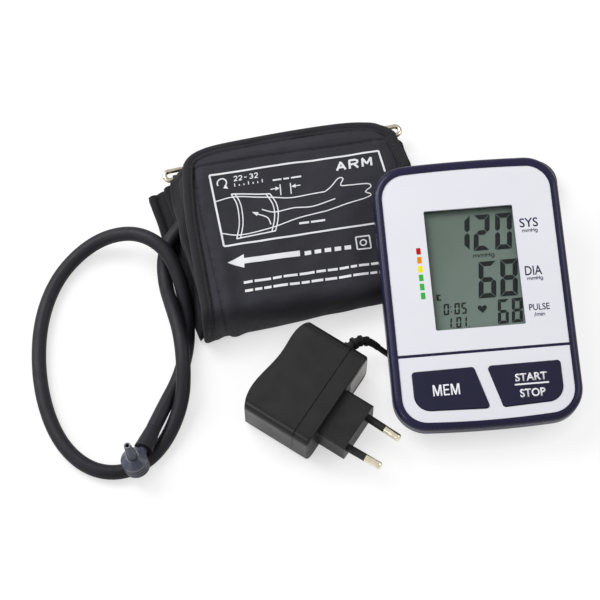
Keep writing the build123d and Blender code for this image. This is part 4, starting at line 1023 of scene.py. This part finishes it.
def stack(name, plan, low, high, plies, bulge, seed, sag=0.35, folds=()):
    """Plies between the heights low and high, each a function of x and y.  The outline swells a little, and
    the top sags unevenly."""
    outline = smooth_line(plan, 260, closed=True)
    swell = waves(outline[:, 0], outline[:, 1], seed, 18, 60)[:, None]
    middle = outline.mean(0)
    inward_way = middle - outline
    reach = np.linalg.norm(inward_way, axis=1)[:, None]
    rings = [(reach * share, 0.0) for share in INNER_SHARES[::-1]]
    rings += [(d + 0.5 * swell * (d < 9), w) for d, w in ply_section(plies, bulge, folds)]
    rings += [(reach * share, 1.04) for share in INNER_SHARES]
    points = []
    for d, w in rings:
        x, y = (outline + inward_way / reach * d).T
        uneven = sag * waves(x, y, seed + 1, 22, 60) * (w > 0.9)
        points.append(np.stack([x, y, low(x, y) + (high(x, y) - low(x, y)) * w + uneven * w], axis=-1))
    grid = np.stack(points)
    rows, columns = grid.shape[:2]
    poles = [np.array([*middle, grid[end, :, 2].mean()]) for end in (0, -1)]
    faces = list(grid_quads(rows, columns, wrap=True)[:, ::-1])
    ring = np.arange(columns)
    after = np.roll(ring, -1)
    first, last = rows * columns, rows * columns + 1
    faces += list(np.stack([np.full(columns, first), ring, after], axis=1)[:, ::-1])
    top_ring = (rows - 1) * columns
    faces += list(np.stack([np.full(columns, last), top_ring + after, top_ring + ring], axis=1)[:, ::-1])
    made = new_mesh(name, np.concatenate([grid.reshape(-1, 3), poles]), faces, inner_cloth)
    turned = bmesh.new()
    turned.from_mesh(made.data)
    bmesh.ops.recalc_face_normals(turned, faces=turned.faces)
    turned.to_mesh(made.data)
    turned.free()
    return made


# %% The four layers
LOWER_PLAN = [(-162.9, 79.2), (-160.0, 80.7), (-150.0, 84.2), (-130.0, 90.5), (-110.0, 95.0), (-60.0, 102.0),
              (-38.0, 103.6), (-29.6, 102.6), (-26.4, 100.4), (-25.4, 96.2), (-23.8, 90.6), (-22.9, 85.5),
              (-26.0, 77.0), (-31.0, 69.0), (-38.0, 59.0), (-40.5, 46.0), (-41.0, 20.0), (-62.0, 14.2),
              (-90.0, 10.5), (-132.0, 4.4), (-138.6, 0.6), (-140.9, -2.9), (-142.4, 0.0), (-146.8, 14.0),
              (-150.8, 28.0), (-157.0, 55.0), (-161.6, 74.0)]
SECOND_PLAN = [(-154.8, 81.0), (-152.0, 84.2), (-141.0, 86.6), (-100.0, 91.0), (-60.0, 95.0), (-40.0, 97.4),
               (-31.4, 96.6), (-26.8, 85.0), (-33.0, 70.0), (-40.5, 58.0), (-41.5, 46.0), (-42.5, 20.0),
               (-60.0, 14.6), (-90.0, 11.0), (-130.0, 5.6), (-138.6, 2.0), (-140.6, 1.0), (-145.0, 30.0),
               (-149.4, 55.0), (-151.2, 66.8)]
INNER_PLAN = [(-149.9, 78.0), (-148.6, 82.4), (-131.0, 84.5), (-100.0, 86.5), (-60.0, 92.0), (-46.5, 91.0),
              (-44.5, 80.0), (-44.5, 22.0), (-60.0, 15.2), (-90.0, 11.5), (-128.0, 6.6), (-138.4, 3.4),
              (-141.2, 12.0), (-143.2, 30.0), (-146.2, 52.0), (-147.6, 66.0)]
UPPER_PLAN = [(-150.6, 77.0), (-149.0, 81.5), (-140.0, 85.0), (-110.0, 89.0), (-70.0, 95.0), (-57.0, 96.0),
              (-54.0, 90.0), (-54.0, 24.0), (-62.0, 15.6), (-90.0, 12.5), (-128.0, 6.6), (-137.4, 4.2),
              (-139.6, 12.0), (-142.4, 27.0), (-147.2, 45.0), (-148.2, 56.0), (-149.6, 67.0)]
HOSE_MOUTH = (-147.0, 58.0)                 # where the hose comes out between the layers


def level(z):
    """The same height everywhere."""
    return lambda x, y: z


def over_hose(x, y, width):
    """One where the hose comes out, fading to zero over a few centimetres."""
    return np.exp(-((x - HOSE_MOUTH[0]) ** 2 + (y - HOSE_MOUTH[1]) ** 2) / width ** 2)


def lining_top(x, y):
    """The lining dips under the hose."""
    return 9.4 - 1.7 * over_hose(x, y, 9.0)


def upper_low(x, y):
    """The upper layer's underside rises over the hose."""
    return 13.3 + 2.4 * over_hose(x, y, 14.0)


def under_flap(x, y):
    """Just under the flap, and lower where the layer comes out past the flap's far left corner."""
    corner_drop = 11.0 * ramp(-x, 141, 150) * ramp(y, 35, 72)
    return flap_height(x, y) - 3.4 - 2.2 * ramp(y - crest(x), 70, 90) - corner_drop


def strap_top(x, y):
    """Two folds that run down the strap beside its left edge, and fade where the hose lies on it.  Each is a
    bell, exp(-(distance / width) ** 2), taken off the height, and inward is the distance from that edge."""
    inward = 0.973 * (x + 162.9) + 0.23 * (y - 79.2)
    first_fold = 1.5 * np.exp(-((inward - 4.8) / 1.2) ** 2) - 0.35 * np.exp(-((inward - 2.4) / 0.9) ** 2)
    second_fold = 0.9 * np.exp(-((inward - 10.2 - 0.05 * (79 - y)) / 0.9) ** 2)
    return 4.9 - (first_fold + second_fold) * ramp(y, 30, 60)


lower = stack("cuff_strap_layer", LOWER_PLAN, level(0.3), strap_top, 2, 0.9, 31,
              folds=(3.3, 7.0, 8.0, 10.0, 11.0, 12.2))
second = stack("cuff_second_layer_cloth", SECOND_PLAN, level(4.9), level(7.8), 1, 1.1, 37)
lining = stack("cuff_lining_cloth", INNER_PLAN, level(7.2), lining_top, 1, 0.8, 41, sag=0.2)
upper = stack("cuff_upper_layer_cloth", UPPER_PLAN, upper_low, under_flap, 4, 1.0, 43, sag=0.2)
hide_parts("cuff_lower_layer")
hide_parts("cuff_second_layer")
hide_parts("cuff_lining")
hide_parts("cuff_upper_layer")
print("layers", [len(layer.data.polygons) for layer in (lower, second, lining, upper)], "faces")

# %% [markdown]
# The wire ring hangs in a sewn sleeve at the far side: a short roll of cloth round the ring's near bar.

# %% Sleeve round the ring
RING_LEFT, RING_RIGHT = np.array([-150.5, 84.0, 13.6]), np.array([-29.4, 102.3, 9.2])
SLEEVE_R, SLEEVE_SHORT = 2.3, 1.5           # it stops just short of each end of the bar
along_ring = (RING_RIGHT - RING_LEFT) / np.linalg.norm(RING_RIGHT - RING_LEFT)
sleeve_start, sleeve_end = RING_LEFT + along_ring * SLEEVE_SHORT, RING_RIGHT - along_ring * SLEEVE_SHORT
sleeve_line = sleeve_start + (sleeve_end - sleeve_start) * np.linspace(0, 1, 90)[:, None]
tube("cuff_ring_sleeve", sleeve_line, SLEEVE_R, tape, sides=24)
print(f"sleeve {line_length(sleeve_line):.0f} mm")

# %% [markdown]
# ## The display
#
# Behind the clear window lies a grey-green liquid-crystal cell.  Its digits are seven dark segments
# with bevelled ends, leaning a few degrees, so each digit is made from one small table of segments.

# %% Window and cell finishes
def window_finish():
    """Clear plastic that is nearly see-through, with an uneven polish."""
    material, tree, shader = blank_material("window_clear")
    shader.inputs["Base Color"].default_value = (0.02, 0.03, 0.03, 1)
    shader.inputs["Alpha"].default_value = 0.07
    link(tree, spread(tree, noise(tree, 90.0), 0.03, 0.08), shader.inputs["Roughness"])
    return material


def cell_finish():
    """Grey-green, cloudy and a little paler towards the near edge, with the faint grain of the polariser."""
    material, tree, shader = blank_material("cell_grey_green")
    cloudy = spread(tree, noise(tree, 30.0, 2.0), -0.2, 0.5)
    place = node(tree, "ShaderNodeTexCoord").outputs["Object"]
    height = node(tree, "ShaderNodeSeparateXYZ", {0: place}).outputs["Y"]
    blend = sums(tree, "ADD", cloudy, carry(tree, height, 0.03, -0.03), use_clamp=True)
    link(tree, two_tone(tree, blend, (0.137, 0.187, 0.153), (0.174, 0.236, 0.204)),
         shader.inputs["Base Color"])
    link(tree, spread(tree, noise(tree, 200.0), 0.35, 0.5), shader.inputs["Roughness"])
    link(tree, bump(tree, noise(tree, 3000.0).outputs["Fac"], 0.00001), shader.inputs["Normal"])
    return material


give(window_finish(), "window_lens")
give(cell_finish(), "lcd_cell")
segment_ink = moulded("segment_ink", (0.009, 0.010, 0.012), 0.5, drift=0.1, specular=0.2)
print_navy = moulded("print_navy", (0.020, 0.018, 0.060), 0.55, drift=0.05, specular=0.15)
print_white = moulded("print_white", (0.86, 0.86, 0.90), 0.6, drift=0.02)
print("finishes", len(bpy.data.materials))


# %% [markdown]
# Segments, marks and print are thin films.  Each is a plate with walls, a twentieth of a millimetre
# thick, laid on the panel or on the cell, so that its edge stays sharp from near by and from any side.

# %% Printed plates
PRINT_T = 0.05                              # thickness of printed ink, mm


def flat_print(name, outlines, height, material, body="root"):
    """Thin plates with the given outlines, lifted off the panel by height: top, bottom and walls."""
    vertices, faces = [], []
    for outline in outlines:
        outline = np.asarray(outline, float)
        n, first = len(outline), sum(len(v) for v in vertices)
        for lift in (height + PRINT_T, height):
            vertices.append(on_panel(*outline.T, lift))
        ring = np.arange(n)
        faces.append(first + ring)
        faces.append(first + n + ring[::-1])
        after = np.roll(ring, -1)
        faces += list(np.stack([first + n + ring, first + n + after, first + after, first + ring], axis=1))
    new_mesh(name, np.concatenate(vertices), faces, material, body, smooth=False)


def box(left, low, right, high):
    """Outline of an upright rectangle on the panel."""
    return np.array([(left, low), (right, low), (right, high), (left, high)])


# %% Seven segments
SLANT = np.tan(np.radians(6.0))
DIGIT_SEGMENTS = {0: "abcdef", 1: "bc", 2: "abged", 5: "afgcd", 6: "afgedc", 8: "abcdefg"}


def segment_outlines(digit, left, low, w, h, s):
    """Outlines of a digit's segments: bars mitred at 45 degrees with a hair of gap between them.  The digit
    is w wide and h high, with strokes s wide, and m is its middle."""
    gap, m = 0.07 * s, h / 2
    shapes = {
        "a": [(gap, h), (w - gap, h), (w - s - gap, h - s), (s + gap, h - s)],
        "d": [(gap, 0), (s + gap, s), (w - s - gap, s), (w - gap, 0)],
        "f": [(0, h - gap), (s, h - s - gap), (s, m + s / 2 + gap), (s / 2, m + gap), (0, m + s / 2)],
        "e": [(0, gap), (0, m - s / 2), (s / 2, m - gap), (s, m - s / 2 - gap), (s, s + gap)],
        "b": [(w, h - gap), (w, m + s / 2), (w - s / 2, m + gap), (w - s, m + s / 2 + gap),
              (w - s, h - s - gap)],
        "c": [(w, gap), (w - s, s + gap), (w - s, m - s / 2 - gap), (w - s / 2, m - gap), (w, m - s / 2)],
        "g": [(s / 2 + gap, m), (s + gap, m + s / 2), (w - s - gap, m + s / 2), (w - s / 2 - gap, m),
              (w - s - gap, m - s / 2), (s + gap, m - s / 2)],
    }
    outlines = []
    for key in DIGIT_SEGMENTS[digit]:
        shape = np.array(shapes[key])
        shape[:, 0] += SLANT * (shape[:, 1] - h / 2)
        area = np.cross(shape, np.roll(shape, -1, axis=0)).sum()
        shape = shape if area > 0 else shape[::-1]
        outlines.append(shape + (left, low))
    return outlines


# digit, left, low, width, height, stroke in panel millimetres
READINGS = [(1, -8.0, 22.9, 8.0, 18.6, 2.7), (2, 2.0, 22.2, 8.2, 19.0, 2.55),
            (0, 13.0, 22.0, 8.6, 19.2, 2.55), (6, 1.8, -2.9, 9.0, 19.2, 2.55),
            (8, 12.9, -2.8, 8.9, 19.4, 2.55), (6, 9.7, -17.0, 5.6, 12.8, 1.65),
            (8, 16.8, -16.8, 5.6, 12.7, 1.65), (0, -17.5, -10.2, 2.8, 5.9, 0.9),
            (0, -12.0, -10.2, 2.8, 5.9, 0.9), (5, -8.5, -10.2, 2.8, 5.9, 0.9),
            (1, -16.4, -17.2, 2.4, 5.6, 0.85), (0, -11.8, -17.2, 2.6, 5.6, 0.85),
            (1, -8.8, -17.2, 2.4, 5.6, 0.85)]
CELL_TOP = -3.5                             # the cell's front lies this far under the face
HEART_SIZE, HEART_AT = 0.148, (2.1, -8.3)   # the mark that flashes with the pulse
segments = [shape for reading in READINGS for shape in segment_outlines(*reading)]
dots = [(-13.6, -8.6), (-13.8, -6.0), (-13.2, -17.0), (-5.4, -17.0)]
segments += [box(-0.3, -0.3, 0.3, 0.3) + dot for dot in dots]
angle = np.linspace(0, 2 * np.pi, 40, endpoint=False)
heart = np.stack([16 * np.sin(angle) ** 3, 13 * np.cos(angle) - 5 * np.cos(2 * angle)
                  - 2 * np.cos(3 * angle) - np.cos(4 * angle)], axis=1)[::-1]
segments.append(heart * HEART_SIZE + HEART_AT)
segments += [box(-20.4, low, right, high) for low, right, high in ((-2.4, -18.2, -1.6), (-1.6, -19.3, 0.0),
                                                                   (0.0, -18.2, 0.8))]      # battery mark
flat_print("display_segments", segments, CELL_TOP, segment_ink)
print("segments", len(segments))

# %% [markdown]
# ## Printed words and marks
#
# The keys and the display carry plain function words.  A text curve is turned into a mesh, scaled to
# its printed size and laid on the panel, so that its place is in its mesh.

# %% Printed words
def printed_word(name, words, middle, size, height, material, body, bold):
    """A word of a given printed width and height, centred on a point of the panel."""
    curve = bpy.data.curves.new(name, "FONT")
    curve.body, curve.size, curve.offset = words, 1.0, bold
    curve.resolution_u = 3
    holder = bpy.data.objects.new(name, curve)
    mesh = bpy.data.meshes.new_from_object(holder)
    bpy.data.objects.remove(holder)
    flat = np.empty(len(mesh.vertices) * 3)
    mesh.vertices.foreach_get("co", flat)
    flat = flat.reshape(-1, 3)[:, :2]
    low, high = flat.min(0), flat.max(0)
    flat = (flat - (low + high) / 2) / (high - low) * size + middle
    mesh.vertices.foreach_set("co", at(on_panel(*flat.T, height + PRINT_T)).ravel())
    mesh.materials.clear()
    mesh.materials.append(material)
    made = bpy.data.objects.new(name, mesh)
    scene.collection.objects.link(made)
    solid = made.modifiers.new("ink", "SOLIDIFY")
    solid.thickness, solid.offset = PRINT_T * MM, -1
    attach(made, body)


KEY_TOP = 0.6                               # height of the keys' caps above the face
WORDS = [("word_sys", "SYS", (30.1, 34.1), (9.4, 4.9), 0.0, print_navy, "root", 0.01),
         ("word_dia", "DIA", (29.6, 8.7), (8.6, 4.9), 0.0, print_navy, "root", 0.01),
         ("word_pulse", "PULSE", (30.4, -10.5), (10.4, 3.4), 0.0, print_navy, "root", 0.01),
         ("word_start", "START", (22.0, -46.2), (16.0, 4.1), KEY_TOP, print_white, "start_stop_key", 0.026),
         ("word_stop", "STOP", (22.0, -54.3), (12.8, 4.3), KEY_TOP, print_white, "start_stop_key", 0.026)]
for row in WORDS:
    printed_word(*row)
print("words", [row[1] for row in WORDS])

# %% [markdown]
# The units are only a few millimetres high.  They are drawn as a few strokes of even width, which stay
# clear where the thin parts of a text curve would fade.

# %% Small letters and the rest of the print
SMALL_LETTERS = {                           # width, then strokes; a capital is 1 high
    "m": (0.95, [[(0, 0), (0, 0.68)], [(0.47, 0), (0.47, 0.56)], [(0.95, 0), (0.95, 0.56)],
                 [(0, 0.5), (0.12, 0.64), (0.36, 0.64), (0.48, 0.48)],
                 [(0.47, 0.5), (0.6, 0.64), (0.84, 0.64), (0.96, 0.48)]]),
    "H": (0.62, [[(0, 0), (0, 1)], [(0.62, 0), (0.62, 1)], [(0, 0.52), (0.62, 0.52)]]),
    "g": (0.55, [[(0.55, 0.68), (0.55, -0.12), (0.4, -0.28), (0.06, -0.26)],
                 [(0.55, 0.5), (0.4, 0.64), (0.16, 0.64), (0, 0.46), (0, 0.2), (0.16, 0.02), (0.4, 0.02),
                  (0.55, 0.16)]]),
    "i": (0.0, [[(0, 0), (0, 0.66)], [(0, 0.84), (0, 1)]]),
    "n": (0.5, [[(0, 0), (0, 0.68)], [(0, 0.46), (0.14, 0.64), (0.36, 0.64), (0.5, 0.46), (0.5, 0)]]),
    "/": (0.35, [[(0, -0.1), (0.35, 1)]])}
LETTER_GAP = 0.27                           # between two letters, where a capital is 1 high


def small_word(name, word, middle, size, height, material, stroke=0.36):
    """Small letters as strokes: each stroke's outline goes along one side of its points and back along the
    other."""
    strokes, x = [], 0.0
    for letter in word:
        wide, shapes = SMALL_LETTERS[letter]
        strokes += [np.array(shape) + (x, 0) for shape in shapes]
        x += wide + LETTER_GAP
    every = np.concatenate(strokes)
    low, high = every.min(0), every.max(0)
    outlines = []
    for shape in strokes:
        line = (shape - (low + high) / 2) / (high - low) * (np.array(size) - stroke) + middle
        side = square_to(line) * stroke / 2
        outlines.append(np.concatenate([line - side, (line + side)[::-1]]))
    flat_print(name, outlines, height, material)


for name, word, middle, size in (("word_sys_unit", "mmHg", (30.2, 29.7), (8.0, 2.7)),
                                 ("word_dia_unit", "mmHg", (30.0, 4.4), (8.0, 2.7)),
                                 ("word_pulse_unit", "/min", (30.1, -14.4), (5.6, 2.5))):
    small_word(name, word, middle, size, 0.0, print_navy)
small_word("word_cell_unit", "mmHg", (5.8, 19.5), (11.0, 3.2), CELL_TOP, segment_ink, 0.42)
LETTER_M = [(0, 0), (0.16, 0), (0.16, 0.7), (0.42, 0), (0.58, 0), (0.84, 0.7), (0.84, 0), (1, 0), (1, 1),
            (0.76, 1), (0.5, 0.27), (0.24, 1), (0, 1)]
LETTER_E = [(0, 0), (1, 0), (1, 0.13), (0.24, 0.13), (0.24, 0.45), (0.92, 0.45), (0.92, 0.58), (0.24, 0.58),
            (0.24, 0.87), (1, 0.87), (1, 1), (0, 1)]
letters = [np.array(shape) * (wide, 5.6) + (left, -52.2)
           for shape, wide, left in ((LETTER_M, 4.45, -27.6), (LETTER_E, 2.95, -22.3),
                                     (LETTER_M, 4.45, -18.6))]
flat_print("word_mem", letters, KEY_TOP, print_white, "mem_key")
flat_print("rule_start_stop", [box(13.4, -50.1, 30.6, -49.3)], KEY_TOP, print_white, "start_stop_key")
print("drawn letters", sorted(SMALL_LETTERS), "and the MEM key's")

# %% [markdown]
# Six small blocks of colour beside the display say how high a reading is, from green at the bottom to
# red at the top.

# %% Colour scale beside the display
SCALE_X, SCALE_W, SCALE_H = -27.4, 2.2, 3.4
# label, place up the panel, colour
SCALE = [("red", 23.4, (0.56, 0.003, 0.008)), ("orange", 18.7, (0.86, 0.24, 0.002)),
         ("yellow", 14.0, (0.90, 0.78, 0.002)), ("green_high", 9.4, (0.045, 0.43, 0.055)),
         ("green_middle", 4.6, (0.045, 0.43, 0.055)), ("green_low", -0.1, (0.045, 0.43, 0.055))]
for label, v, color in SCALE:
    ink = moulded(f"ink_{label}", color, 0.5, drift=0.04, specular=0.1)
    half_w, half_h = SCALE_W / 2, SCALE_H / 2
    flat_print(f"scale_{label}", [box(SCALE_X - half_w, v - half_h, SCALE_X + half_w, v + half_h)], 0.0, ink)
print("scale", len(SCALE), "blocks")
